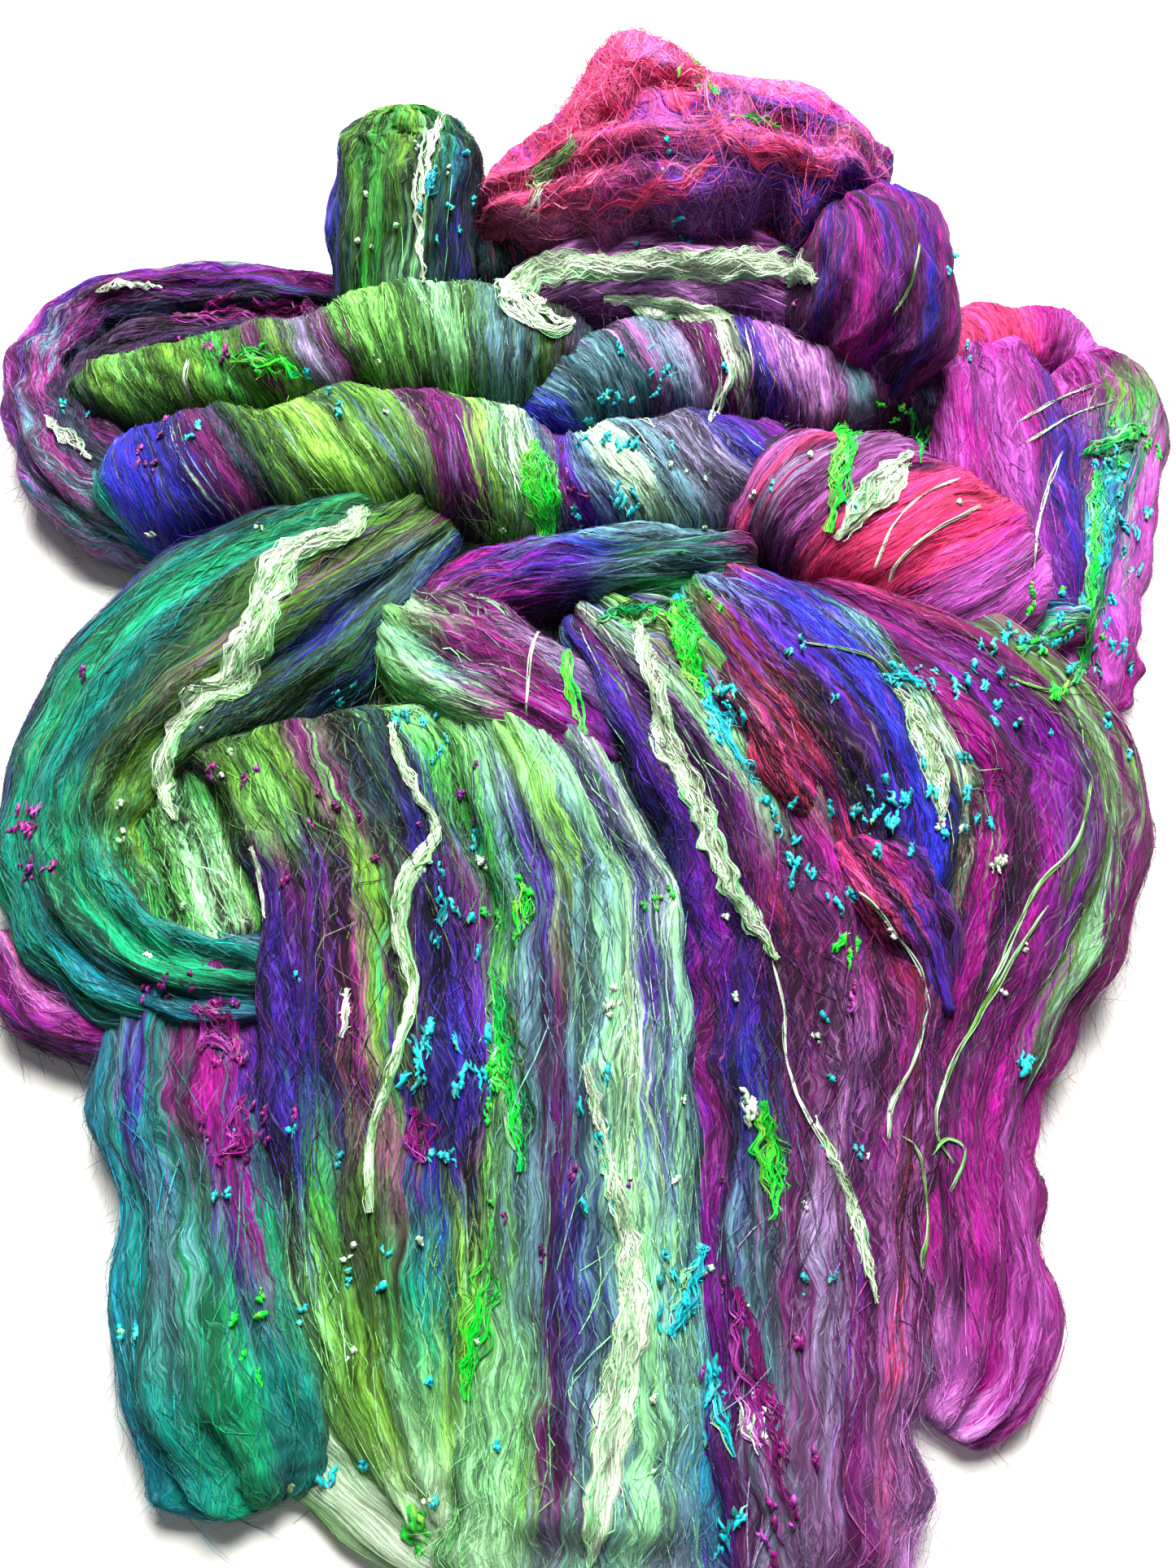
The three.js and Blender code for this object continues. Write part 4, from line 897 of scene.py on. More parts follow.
def relief_at(fold, at, angle):
    """How far the wool stands out or in: the solid's pleats or waves, and finer ones on them."""
    part = at / fold.last
    if fold.wool == "along":
        wander = PLEAT_WANDER * np.sin(WANDER_RATE * part + fold.ridges)
        share = (1 - np.cos(angle)) / 2
        drift = part
    else:
        wander = WAVE_WANDER * np.cos(angle)
        share = part
        drift = np.cos(angle) / 2
    top = np.maximum(np.sin(angle), 0)
    main = fold.relief * np.sin(2 * np.pi * (fold.ridges * share + wander)) * top
    fibre = fibre_share(fold, at, angle)
    fine = 0 * at * angle
    for rate, depth, phase, sway, turns in fold.pleats:
        bend = sway * np.sin(2 * np.pi * (turns * drift + phase))
        pleat = np.abs(np.sin(np.pi * (rate * fibre + bend + phase)))
        fine = fine + depth * (2 * pleat**PLEAT_EDGE - 1)
    lumps = 0 * at * angle
    for span, around, phase, start in fold.lumps:
        wave = np.sin(2 * np.pi * part * fold.length / span + phase)
        lumps = lumps + LUMP_DEPTH * fold.loose * wave * np.sin(around * angle * 2 + start)
    return main + (fine + lumps) * np.sqrt(top)


def surface(fold, at, angle):
    """Points on a fold and which way is out there. Past its ends, at runs on over a rounded tip."""
    core = np.clip(at, 0, fold.last)
    beyond = np.clip((at - core) / TIP_SPAN, -1, 1)
    middle, across, up, along = frame_at(fold, core)
    half, rise = between(fold.half, core), between(fold.rise, core)
    shrink = np.cos(beyond * np.pi / 2)
    out = relief_at(fold, core, angle)
    cos, sin = np.cos(angle), np.sin(angle)
    edge = 0 * at
    for span, around, phase, _ in fold.lumps:
        bend = 2 * np.pi * core / fold.last * fold.length / span
        edge = edge + EDGE_DEPTH * fold.loose * np.sin(bend + phase + around * np.sign(cos))
    side = (half + out + edge * cos**2) * squared(cos) * shrink
    lift = (rise + out) * squared(sin) * shrink
    tip = END_ROUND * rise * np.sin(beyond * np.pi / 2)
    points = middle + across * side[..., None] + up * lift[..., None] + along * tip[..., None]
    points[..., 2] = np.maximum(points[..., 2], FLOOR_GAP)
    outward = across * (cos / half * shrink)[..., None] + up * (sin / rise * shrink)[..., None]
    outward = unit(outward + along * (np.sin(beyond * np.pi / 2) / rise)[..., None])
    return points, outward


def finish_fold(fold, index):
    """Works out what a fold's wool needs: its finer pleats and lumps, its length and its girth."""
    rng = np.random.default_rng(SEED + index)
    over = fold.wool == "over"
    fold.index = index
    steps = np.diff(between(fold.middles, np.linspace(0, fold.last, LENGTH_STEPS)), axis=0)
    fold.length = float(np.linalg.norm(steps, axis=1).sum())
    fold.radius = float(np.mean(fold.half + fold.rise) / 2)
    fold.width = fold.length if over else float(np.mean(fold.half) * WAY_ROUND)
    count = max(fold.width / PLEAT_PITCH, FEWEST_PLEATS)
    deep = OVER_DEPTH if over else 1.0
    fold.pleats = [
        (count * rate, depth * deep * rng.uniform(0.8, 1.2), rng.uniform(0, 1), sway, turns)
        for rate, depth, sway, turns in PLEATS
    ]
    circle = (0, 2 * np.pi)
    fold.lumps = [
        [rng.uniform(*ends) for ends in (LUMP_SPAN, LUMP_TURNS, circle, circle)]
        for _ in range(LUMPS)
    ]


def mesh_object(name, points, faces, maps, material, slot):
    """A smooth mesh on the root body, from corners in millimetres, faces, and maps by corner."""
    mesh = bpy.data.meshes.new(name)
    sides = faces.shape[1]
    mesh.vertices.add(len(points))
    mesh.vertices.foreach_set("co", (points * MM).astype(np.float32).ravel())
    mesh.loops.add(faces.size)
    mesh.loops.foreach_set("vertex_index", faces.astype(np.int32).ravel())
    mesh.polygons.add(len(faces))
    mesh.polygons.foreach_set("loop_start", np.arange(0, faces.size, sides, dtype=np.int32))
    mesh.polygons.foreach_set("use_smooth", np.ones(len(faces), bool))
    for label, values in maps.items():
        layer = mesh.uv_layers.new(name=label)
        layer.data.foreach_set("uv", values.astype(np.float32).ravel())
    mesh.materials.append(material)
    mesh.update(calc_edges=True)
    mesh.validate()
    piece = bpy.data.objects.new(name, mesh)
    bpy.context.scene.collection.objects.link(piece)
    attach(piece, "root")
    return piece


def fold_grid(fold):
    """The corners and faces of a fold's closed surface, with its two maps."""
    cell = BED_CELL if fold.name == "bed" else HIDDEN_CELL if fold.hidden else CELL
    body = np.linspace(0, fold.last, max(int(fold.length / cell), FEWEST_ROWS))
    tip = TIP_SPAN * np.sin(np.linspace(0, 1, TIP_RINGS + 1)[1:] * np.pi / 2) * TIP_END
    at = np.concatenate([-tip[::-1], body, fold.last + tip])
    over = max(int(np.pi * fold.radius / cell), FEWEST_OVER)
    under = max(over // 4, FEWEST_UNDER) // 2
    angle = np.concatenate([
        np.linspace(-np.pi / 2, 0, under + 1)[:-1], np.linspace(0, np.pi, over + 1)[:-1],
        np.linspace(np.pi, 3 * np.pi / 2, under + 1)[:-1],
    ])
    ring = len(angle)
    points = surface(fold, *np.meshgrid(at, angle, indexing="ij"))[0]
    i, k = np.meshgrid(np.arange(len(at) - 1), np.arange(ring), indexing="ij")
    after = (k + 1) % ring
    faces = [i * ring + k, (i + 1) * ring + k, (i + 1) * ring + after, i * ring + after]
    around = np.append(angle, angle[0] + 2 * np.pi)
    full_at, full_angle = np.meshgrid(at, around, indexing="ij")
    # The tone here is a painted shade that darkens the fold towards its sides.
    grids = maps_of(fold, full_at, full_angle, -SIDE_SHADE * np.cos(full_angle) ** 8)
    maps = {
        label: np.stack([grid[i, k], grid[i + 1, k], grid[i + 1, k + 1], grid[i, k + 1]], -2)
        for label, grid in zip(("fibre", "place"), grids)
    }
    return points.reshape(-1, 3), np.stack(faces, -1).reshape(-1, 4), maps


def maps_of(fold, at, angle, tone=0.0):
    """The two maps: across and along the fibres, and where along the fold with how light it is.

    For a loose fibre that is its own tone; for a fold it is a painted shade at its sides.
    """
    share = fibre_share(fold, at, angle)
    run = at / fold.last * fold.length if fold.wool == "along" else angle * fold.radius
    return np.stack([share, run * MM], -1), np.stack([at / fold.last, tone + 0 * share], -1)


def make_fold(fold):
    points, faces, maps = fold_grid(fold)
    piece = mesh_object(fold.name, points, faces, maps, fold.material, "wool")
    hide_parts("wool_batt")
    return points, faces


def exposed(points, outward, heap):
    """Which places on a fold aren't buried in another one: a ray up from there leaves no solid."""
    clear = np.ones(len(points), bool)
    for n, start in enumerate(points + outward * CLEAR_BY):
        place, normal, _, _ = heap.ray_cast(Vector(start), UPWARD)
        clear[n] = place is None or normal.z < 0
    return clear


def ribbons(spines, outward, widths):
    """Thin tapering ribbons along spines of points, lying flat to the wool."""
    count, steps = spines.shape[:2]
    along = unit(np.gradient(spines, axis=1))
    side = unit(np.cross(outward, along))
    taper = np.sin(np.linspace(TAPER_FROM, TAPER_TO, steps) * np.pi) ** TAPER_POWER
    reach = side * (widths[:, None] * taper[None] / 2)[..., None]
    points = np.stack([spines - reach, spines + reach], 2)
    base = (np.arange(count) * steps * 2)[:, None] + np.arange(steps - 1)[None] * 2
    faces = np.stack([base, base + 1, base + 3, base + 2], -1).reshape(-1, 4)
    return points.reshape(-1, 3), faces


def strand_maps(fibre, place, sides=1):
    """Spreads maps by spine point over the corners of each strand's faces, sides to a step."""
    maps = {}
    for label, grid in {"fibre": fibre, "place": place}.items():
        first, after = grid[:, :-1], grid[:, 1:]
        quad = np.stack([first, first, after, after], 2)
        maps[label] = np.repeat(quad[:, :, None], sides, axis=2).reshape(-1, 2)
    return maps


def fibre_starts(fold, heap, rng, count, sides_only):
    """Where loose fibres are on a fold: more where it is thick, and none where it is buried."""
    tries = count * TRIES
    at = rng.uniform(-TIP_SPAN * TIP_REACH, fold.last + TIP_SPAN * TIP_REACH, tries)
    angle = rng.uniform(-PAST_SIDES * np.pi, (1 + PAST_SIDES) * np.pi, tries)
    if sides_only:
        side = np.where(rng.uniform(0, 1, tries) < 0.5, 0, np.pi)
        angle = side + rng.normal(0, SIDE_SPREAD, tries)
    size = between(fold.half + fold.rise, np.clip(at, 0, fold.last))
    kept = rng.uniform(0, 1, tries) < size / size.max()
    at, angle = at[kept], angle[kept]
    clear = exposed(*surface(fold, at, angle), heap)
    return at[clear][:count, None], angle[clear][:count, None]


def fibre_course(fold, at, angle, run, aside):
    """Where along a fold and around it fibres go, from their run along them and their sway."""
    if fold.wool == "over":
        angles = angle + run / fold.radius
        shift = fold.lean * (np.cos(angles) - np.cos(angle)) / 2
        return at + (shift + aside / fold.length) * fold.last, angles
    ats = at + run / fold.length * fold.last
    level = (1 - np.cos(angle)) / 2 - fold.lean * (ats - at) / fold.last
    over = (angle > 0) & (angle < np.pi)
    angles = np.where(over, np.arccos(1 - 2 * level.clip(0.002, 0.998)), angle)
    return ats, angles + aside / fold.radius


def make_fibres(fold, heap, kind, count):
    """Loose fibres on a fold: lying along it, crossing it, or standing off it."""
    long, steps, waves_by, sway, veer, lift_by, reach_by, wide, light, sides_only = KINDS[kind]
    rng = np.random.default_rng([SEED, fold.index, kind])
    at, angle = fibre_starts(fold, heap, rng, count, sides_only)
    n = len(at)
    if n == 0:
        return None

    def each(spread):
        return rng.normal(0, spread, (n, 1))

    long = rng.gamma(LENGTH_SHAPE, long / LENGTH_SHAPE, n)[:, None]
    t = np.linspace(-0.5, 0.5, steps)[None]
    waves = waves_by * rng.uniform(*WAVE_RANGE, (n, 1)) * t + rng.uniform(0, 2, (n, 1))
    aside = each(sway) * fold.loose * np.sin(np.pi * waves) + each(veer * fold.loose) * t * long
    ats, angles = fibre_course(fold, at, angle, t * long, aside)
    points, outward = surface(fold, ats, angles)
    reach = rng.exponential(reach_by, (n, 1)).clip(0, MAX_REACH)
    lift = LEAST_LIFT + rng.exponential(lift_by, (n, 1)) * np.sin(np.pi * (t + 0.5))
    lift = lift + reach * (t + 0.5) ** rng.uniform(*REACH_RANGE, (n, 1))
    curl = rng.normal(0, 1, (n, 1, 3)) * ((t + 0.5) ** 2)[..., None] * reach[..., None] * END_CURL
    spines = points + outward * lift[..., None] + curl
    spines[..., 2] = np.maximum(spines[..., 2], FLOOR_GAP + LEAST_LIFT)
    spines[..., 2] -= np.maximum(spines[..., 2] - LEVEL_TOP, 0) * TOP_EASE
    facing = unit(outward + rng.normal(0, FIBRE_TURN, (n, 1, 3)))
    corners, faces = ribbons(spines, facing, rng.uniform(*wide, n))
    tone = np.clip(light + each(TONE_SPREAD), *TONE_RANGE)
    fibre, place = maps_of(fold, ats, angles, tone)
    fibre[..., 0] = fibre[:, :1, 0] + each(BLEND_STRAY / fold.width)
    return corners, faces, strand_maps(fibre, place)


def joined(parts):
    """Several sets of corners, faces and maps as one set."""
    corners, faces, maps = zip(*parts)
    starts = np.cumsum([0] + [len(points) for points in corners])
    faces = np.concatenate([part + start for part, start in zip(faces, starts)])
    maps = {label: np.concatenate([part[label] for part in maps]) for label in maps[0]}
    return np.concatenate(corners), faces, maps


def linear(code, depth=1.0):
    """A colour as a shader takes it, from its six-digit code, made darker by depth."""
    parts = [int(code[k:k + 2], 16) / 255 for k in (0, 2, 4)]
    parts = [v / 12.92 if v <= 0.04045 else ((v + 0.055) / 1.055) ** 2.4 for v in parts]
    return tuple(v * depth for v in parts) + (1.0,)


def richer(colour, richness):
    """The colour, further from grey by that much."""
    grey = sum(colour[:3]) / 3
    return tuple(max(grey + richness * (v - grey), 0.0) for v in colour[:3]) + (1.0,)


class Tree:
    """A material's nodes, added one at a time with what goes into each."""

    def __init__(self, name):
        self.material = bpy.data.materials.new(name)
        self.material.use_nodes = True
        self.nodes = self.material.node_tree.nodes
        self.links = self.material.node_tree.links
        self.shader = self.nodes["Principled BSDF"]

    def put(self, node, socket, value):
        if isinstance(value, bpy.types.NodeSocket):
            self.links.new(value, node.inputs[socket])
        else:
            node.inputs[socket].default_value = value

    def add(self, kind, inputs, **settings):
        node = self.nodes.new("ShaderNode" + kind)
        for key, value in settings.items():
            setattr(node, key, value)
        for socket, value in inputs.items():
            self.put(node, socket, value)
        return node

    def math(self, operation, *values):
        return self.add("Math", dict(enumerate(values)), operation=operation).outputs[0]

    def wandering(self, value, noise, width):
        """The value, moved by a noise to either side, by half the width at most."""
        moved = self.math("MULTIPLY_ADD", noise, width, value)
        return self.math("ADD", moved, -width / 2)

    def spread(self, value, low, high, to_low, to_high):
        inputs = {"Value": value, "From Min": low, "From Max": high, "To Min": to_low}
        return self.add("MapRange", {**inputs, "To Max": to_high}).outputs[0]

    def mix(self, share, a, b, blend="MIX"):
        node = self.add("Mix", {}, data_type="RGBA", blend_type=blend)
        for socket, value in zip((0, 6, 7), (share, a, b)):
            self.put(node, socket, value)
        return node.outputs[2]

    def shaded(self, colour, shade):
        """The colour, multiplied by a shade of grey."""
        grey = self.add("CombineColor", {0: shade, 1: shade, 2: shade}).outputs[0]
        return self.mix(1.0, colour, grey, "MULTIPLY")

    def noise(self, vector, kind, draw):
        """One of the noises, at a draw of its own."""
        across, along, detail, number = NOISES[kind]
        inputs = {"Vector": vector, "Location": (0, 0, draw + number), "Scale": (across, along, 1)}
        stretched = self.add("Mapping", inputs).outputs[0]
        inputs = {"Vector": stretched, "Scale": 1.0, "Detail": detail, "Roughness": NOISE_ROUGHNESS}
        return self.add("TexNoise", inputs).outputs[0]

    def ramp(self, value, words, depth=1.0, richness=1.0):
        """A blend of colours: a name and its place in hundredths for each."""
        node = self.add("ValToRGB", {"Fac": value})
        parts = words.split()
        colours = [richer(linear(PALETTE[word], depth), richness) for word in parts[::2]]
        stops = [(int(at) / 100, colour) for at, colour in zip(parts[1::2], colours)]
        node.color_ramp.interpolation = "EASE"
        elements = node.color_ramp.elements
        while len(elements) < len(stops):
            elements.new(0.5)
        for element, (at, colour) in zip(elements, stops):
            element.position = at
            element.color = colour
        return node.outputs[0]

    def maps(self):
        """The fibre map, and the two parts of the place map: how far along, and the tone.

        On a fold the tone is a painted shade at its sides; on fibres, silk and locks it is their own.
        """
        fibre = self.add("UVMap", {}, uv_map="fibre").outputs[0]
        place = self.add("UVMap", {}, uv_map="place").outputs[0]
        return fibre, *self.add("SeparateXYZ", {0: place}).outputs[:2]

    def finish(self, colour, height, bump, settings):
        """Sends a colour, a bump and the shader's plain settings to the material."""
        strength, depth = bump
        bumped = self.add("Bump", {"Strength": strength, "Distance": depth, "Height": height})
        self.put(self.shader, "Base Color", colour)
        self.put(self.shader, "Normal", bumped.outputs[0])
        for socket, value in settings.items():
            self.put(self.shader, socket, value)
        return self.material


def wool_material(fold):
    """Blended wool: stripes of colour that mingle in wavy streaks along the fibres."""
    tree = Tree("wool_" + fold.name)
    fibre, part, tone = tree.maps()
    wide = fold.width
    swing = SWAY * fold.loose**1.5

    def noise(kind, vector, number=0):
        return tree.noise(vector, kind, fold.index * DRAW_APART + number)

    def blend(share, words):
        return tree.ramp(share, words, WOOL_DEPTH, RICHNESS)

    level = tree.add("Mapping", {"Vector": fibre, "Scale": (wide, 1 / MM, 1)}).outputs[0]
    sway = tree.math("MULTIPLY_ADD", noise("sway", level), 2 * swing, -swing)
    crimp = tree.math("MULTIPLY_ADD", noise("crimp", level), CRIMP_WIDTH, -CRIMP_WIDTH / 2)
    swayed = tree.add("CombineXYZ", {0: tree.math("ADD", sway, crimp)}).outputs[0]
    level = tree.add("VectorMath", {0: level, 1: swayed}, operation="ADD").outputs[0]
    share = tree.math("MULTIPLY", tree.add("SeparateXYZ", {0: level}).outputs[0], 1 / wide)
    streak, fine, groove = [noise(kind, level) for kind in ("streak", "fine", "groove")]

    wandered = tree.wandering(share, noise("wander", level), WANDER_WIDTH / wide)
    mingled = tree.wandering(wandered, streak, STREAK_WIDTH / wide)
    strayed = tree.math("FRACT", tree.math("ADD", mingled, STRAY_SHIFT))
    colour = blend(mingled, fold.stages[0][1])
    other = blend(strayed, fold.stages[0][1])
    reached = tree.wandering(part, streak, STAGE_BLUR)
    for (low, _), (high, words) in zip(fold.stages, fold.stages[1:]):
        passed = tree.spread(reached, low, high, 0.0, 1.0)
        colour = tree.mix(passed, colour, blend(mingled, words))
        other = tree.mix(passed, other, blend(strayed, words))
    colour = tree.mix(tree.spread(noise("stray", level), *SHADES["stray"]), colour, other)
    # Painted highlight for the loose hairs: the wool's own colour made lighter.
    hair_highlight = tree.mix(1.0, colour, (HAIR_HIGHLIGHT, HAIR_HIGHLIGHT, HAIR_HIGHLIGHT, 1), "MULTIPLY")

    # Painted shade: the fine and groove noises, which also raise the bump, darken the wool where it is low,
    # in the grooves between fibre bundles. The fine noise also gives the fibres' own light and dark, and the
    # mottle is the wool's own uneven tone.
    shade = tree.spread(fine, *SHADES["fine"])
    shade = tree.math("MULTIPLY", shade, tree.spread(groove, *SHADES["groove"]))
    mottle = tree.spread(noise("mottle", level), *SHADES["mottle"])
    shade = tree.math("MULTIPLY", shade, mottle)
    faded = tree.spread(part, FADE_FROM, 1.0, fold.calm, fold.fade)
    kept = tree.math("SUBTRACT", 1.0, faded)
    shade = tree.math("MULTIPLY_ADD", shade, kept, tree.math("MULTIPLY", faded, FADE_LIGHT))
    # On a fold the tone is a painted shade that darkens its sides; on a loose fibre it is the fibre's own
    # lightness.
    shade = tree.math("MULTIPLY", shade, tree.math("ADD", tone, 1.0))
    colour = tree.shaded(colour, shade)
    # Loose hairs across the streaks, drawn in the painted highlight with a little near white.
    for number, (turn, strength) in enumerate(FRIZZ):
        spun = tree.add("Mapping", {"Vector": level, "Rotation": (0, 0, turn)}).outputs[0]
        hairs = tree.spread(noise("hairs", spun, number), *HAIR_BAND, 0.0, strength)
        colour = tree.mix(hairs, colour, tree.mix(HIGHLIGHT_WHITENESS, hair_highlight, linear(HIGHLIGHT_WHITE)))
    height = tree.math("MULTIPLY_ADD", fine, FINE_HEIGHT, tree.math("ADD", groove, streak))
    return tree.finish(colour, height, WOOL_BUMP, WOOL_SHADER)


def silk_material(name, words):
    """Bright silk or dyed lock: a blend of colours in fine glossy streaks."""
    tree = Tree(name)
    fibre, _, tone = tree.maps()
    share = tree.add("SeparateXYZ", {0: fibre}).outputs[0]
    draw = len(words) * SILK_DRAW
    streak = tree.noise(fibre, "silk_streak", draw)
    fine = tree.noise(fibre, "silk_fine", draw)
    mingled = tree.wandering(share, streak, SILK_STREAK_WIDTH)
    colour = tree.ramp(mingled, words, 1.0, SILK_RICHNESS)
    # Painted shade: the fine noise, which is also in the bump, darkens the silk in its fine creases, along
    # with the fibres' own light and dark.
    shade = tree.spread(fine, *SHADES["silk_fine"])
    colour = tree.shaded(colour, tree.math("MULTIPLY", shade, tree.math("ADD", tone, 1.0)))
    return tree.finish(colour, tree.math("ADD", streak, fine), SILK_BUMP, SILK_SHADER)


def seen(heap, px, py, reach=None):
    """What a pixel of the photograph shows on the heap: the place, which way is out, how far."""
    ray = unit(sight_ray(px, py))
    place, normal, _, distance = heap.ray_cast(Vector(EYE), Vector(ray))
    if place is None or distance > FARTHEST:
        return (None, None, None) if reach is None else (EYE + ray * reach, -ray, reach)
    return np.array(place), np.array(normal), distance


def smoothed(values, times):
    for _ in range(times):
        inner = (values[:-2] + 2 * values[1:-1] + values[2:]) / 4
        values = np.concatenate([values[:1], inner, values[-1:]])
    return values


def path_on(heap, rows, step, smoothing=6):
    """A path over the heap, from where it is seen. A row of its table is px, py and half width."""
    table = np.array(rows, float)
    places = between(table, np.linspace(0, len(table) - 1, PATH_DETAIL * (len(table) - 1) + 1))
    found = [seen(heap, px, py)[2] for px, py in places[:, :2]]
    known = [i for i, reach in enumerate(found) if reach is not None]
    reaches = np.interp(range(len(found)), known, [found[i] for i in known])
    hits = [seen(heap, *pixel, reach) for pixel, reach in zip(places[:, :2], reaches)]
    points = smoothed(np.array([hit[0] for hit in hits]), smoothing)
    normals = smoothed(np.array([hit[1] for hit in hits]), OUT_SMOOTHING)
    run = np.concatenate([[0], np.cumsum(np.linalg.norm(np.diff(points, axis=0), axis=1))])
    steps = np.linspace(0, run[-1], max(int(run[-1] / step), 4))
    points, normals = [
        np.stack([np.interp(steps, run, column) for column in grid.T], -1)
        for grid in (points, normals)
    ]
    near_end = np.minimum(steps, run[-1] - steps) / min(END_LENGTH, run[-1] / 2)
    narrow = END_WIDTH + (1 - END_WIDTH) * np.clip(near_end, 0, 1) ** 0.8
    half = np.interp(steps, run, places[:, 2]) * narrow
    along = unit(np.gradient(points, axis=0))
    across = unit(np.cross(along, unit(normals)))
    return Path(points, across, unit(np.cross(across, along)), half, steps)


def laid_grid(heap, path):
    """Places on the wool beside a path: for each step, one at each share of the half width."""
    columns = PATH_COLUMNS
    sides = np.linspace(-1, 1, columns)
    start = path.points[0, 0]

    def edge(waves):
        moved = [depth * np.sin(path.steps / span + turn + start) for depth, span, turn in waves]
        return sum(moved, 1.0)[:, None]

    uneven = np.where(sides[None] < 0, edge(LEFT_WAVES), edge(RIGHT_WAVES)) * sides[None]
    grid = path.points[:, None] + path.across[:, None] * (path.half[:, None] * uneven)[..., None]
    for i, up in enumerate(path.up):
        for k in range(columns):
            place = heap.ray_cast(Vector(grid[i, k] + up * SEEK), Vector(-up), 2 * SEEK)[0]
            if place is not None:
                grid[i, k] = place
    up = path.up[:, None]
    middle = grid[:, columns // 2, :][:, None]
    fall = ((grid - middle) * up).sum(-1)
    grid += up * (np.clip(fall, -MAX_DROP, MAX_DROP) - fall)[..., None]
    for k in range(columns):
        grid[:, k] = smoothed(grid[:, k], 3)
    return grid


def on_grid(grid, rows, sides):
    """Points of a laid grid at fractional rows and at shares of the half width, from -1 to 1."""
    count, columns = grid.shape[:2]
    col = np.clip((sides + 1) / 2 * (columns - 1), 0, columns - 1.001)
    row = np.clip(rows, 0, count - 1.001)
    i, k = row.astype(int), col.astype(int)
    a, b = (row - i)[..., None], (col - k)[..., None]
    first = grid[i, k] * (1 - b) + grid[i, k + 1] * b
    after = grid[i + 1, k] * (1 - b) + grid[i + 1, k + 1] * b
    return first * (1 - a) + after * a


def sheet_faces(count, columns):
    """The faces of a closed sheet: its top, its underside, and the rim around them."""
    under = count * columns
    i, k = np.meshgrid(np.arange(count - 1), np.arange(columns - 1), indexing="ij")
    corner = (i * columns + k).ravel()
    top = np.stack([corner, corner + 1, corner + columns + 1, corner + columns], -1)
    faces = [top, top[:, ::-1] + under]
    for column in (0, columns - 1):
        edge = np.arange(count - 1) * columns + column
        quad = np.stack([edge, edge + columns, edge + columns + under, edge + under], -1)
        faces.append(quad if column == 0 else quad[:, ::-1])
    for row in (0, count - 1):
        edge = row * columns + np.arange(columns - 1)
        quad = np.stack([edge, edge + under, edge + 1 + under, edge + 1], -1)
        faces.append(quad if row == 0 else quad[:, ::-1])
    return np.concatenate(faces)


def make_band(name, heap, rows, material, thick, seed):
    """A soft closed band of silk on the wool, thicker in the middle and thin at its edges."""
    rng = np.random.default_rng(SEED + seed)
    path = path_on(heap, rows, PATH_STEP)
    grid = laid_grid(heap, path)
    sides = np.linspace(-1, 1, PATH_COLUMNS)[None]
    run = path.steps[:, None]
    ends = np.clip(np.minimum(run, run[-1] - run) / BAND_END, 0, 1) ** 0.5
    waves = 1
    for depth, rate, sway, span in BAND_WAVES:
        bend = sway * np.sin(run / span)
        waves = waves + depth * np.sin(sides * rate + bend + rng.uniform(0, 6))
    domed = np.sqrt(np.maximum(1 - sides**2, 0))
    top = thick * BAND_FILL * domed * ends * waves + BAND_EDGE
    up = path.up[:, None]
    corners = np.concatenate([grid + up * top[..., None], grid - up * BAND_SUNK]).reshape(-1, 3)
    faces = sheet_faces(*grid.shape[:2])
    share = np.broadcast_to((sides + 1) / 2, grid.shape[:2])
    fibre = np.stack([share, run * MM + 0 * share], -1)
    place = np.stack([run / run[-1] + 0 * share, 0 * share], -1)
    maps = {
        label: np.concatenate([values, values]).reshape(-1, 2)[faces]
        for label, values in {"fibre": fibre, "place": place}.items()
    }
    return mesh_object(name, corners, faces, maps, material, "silk")


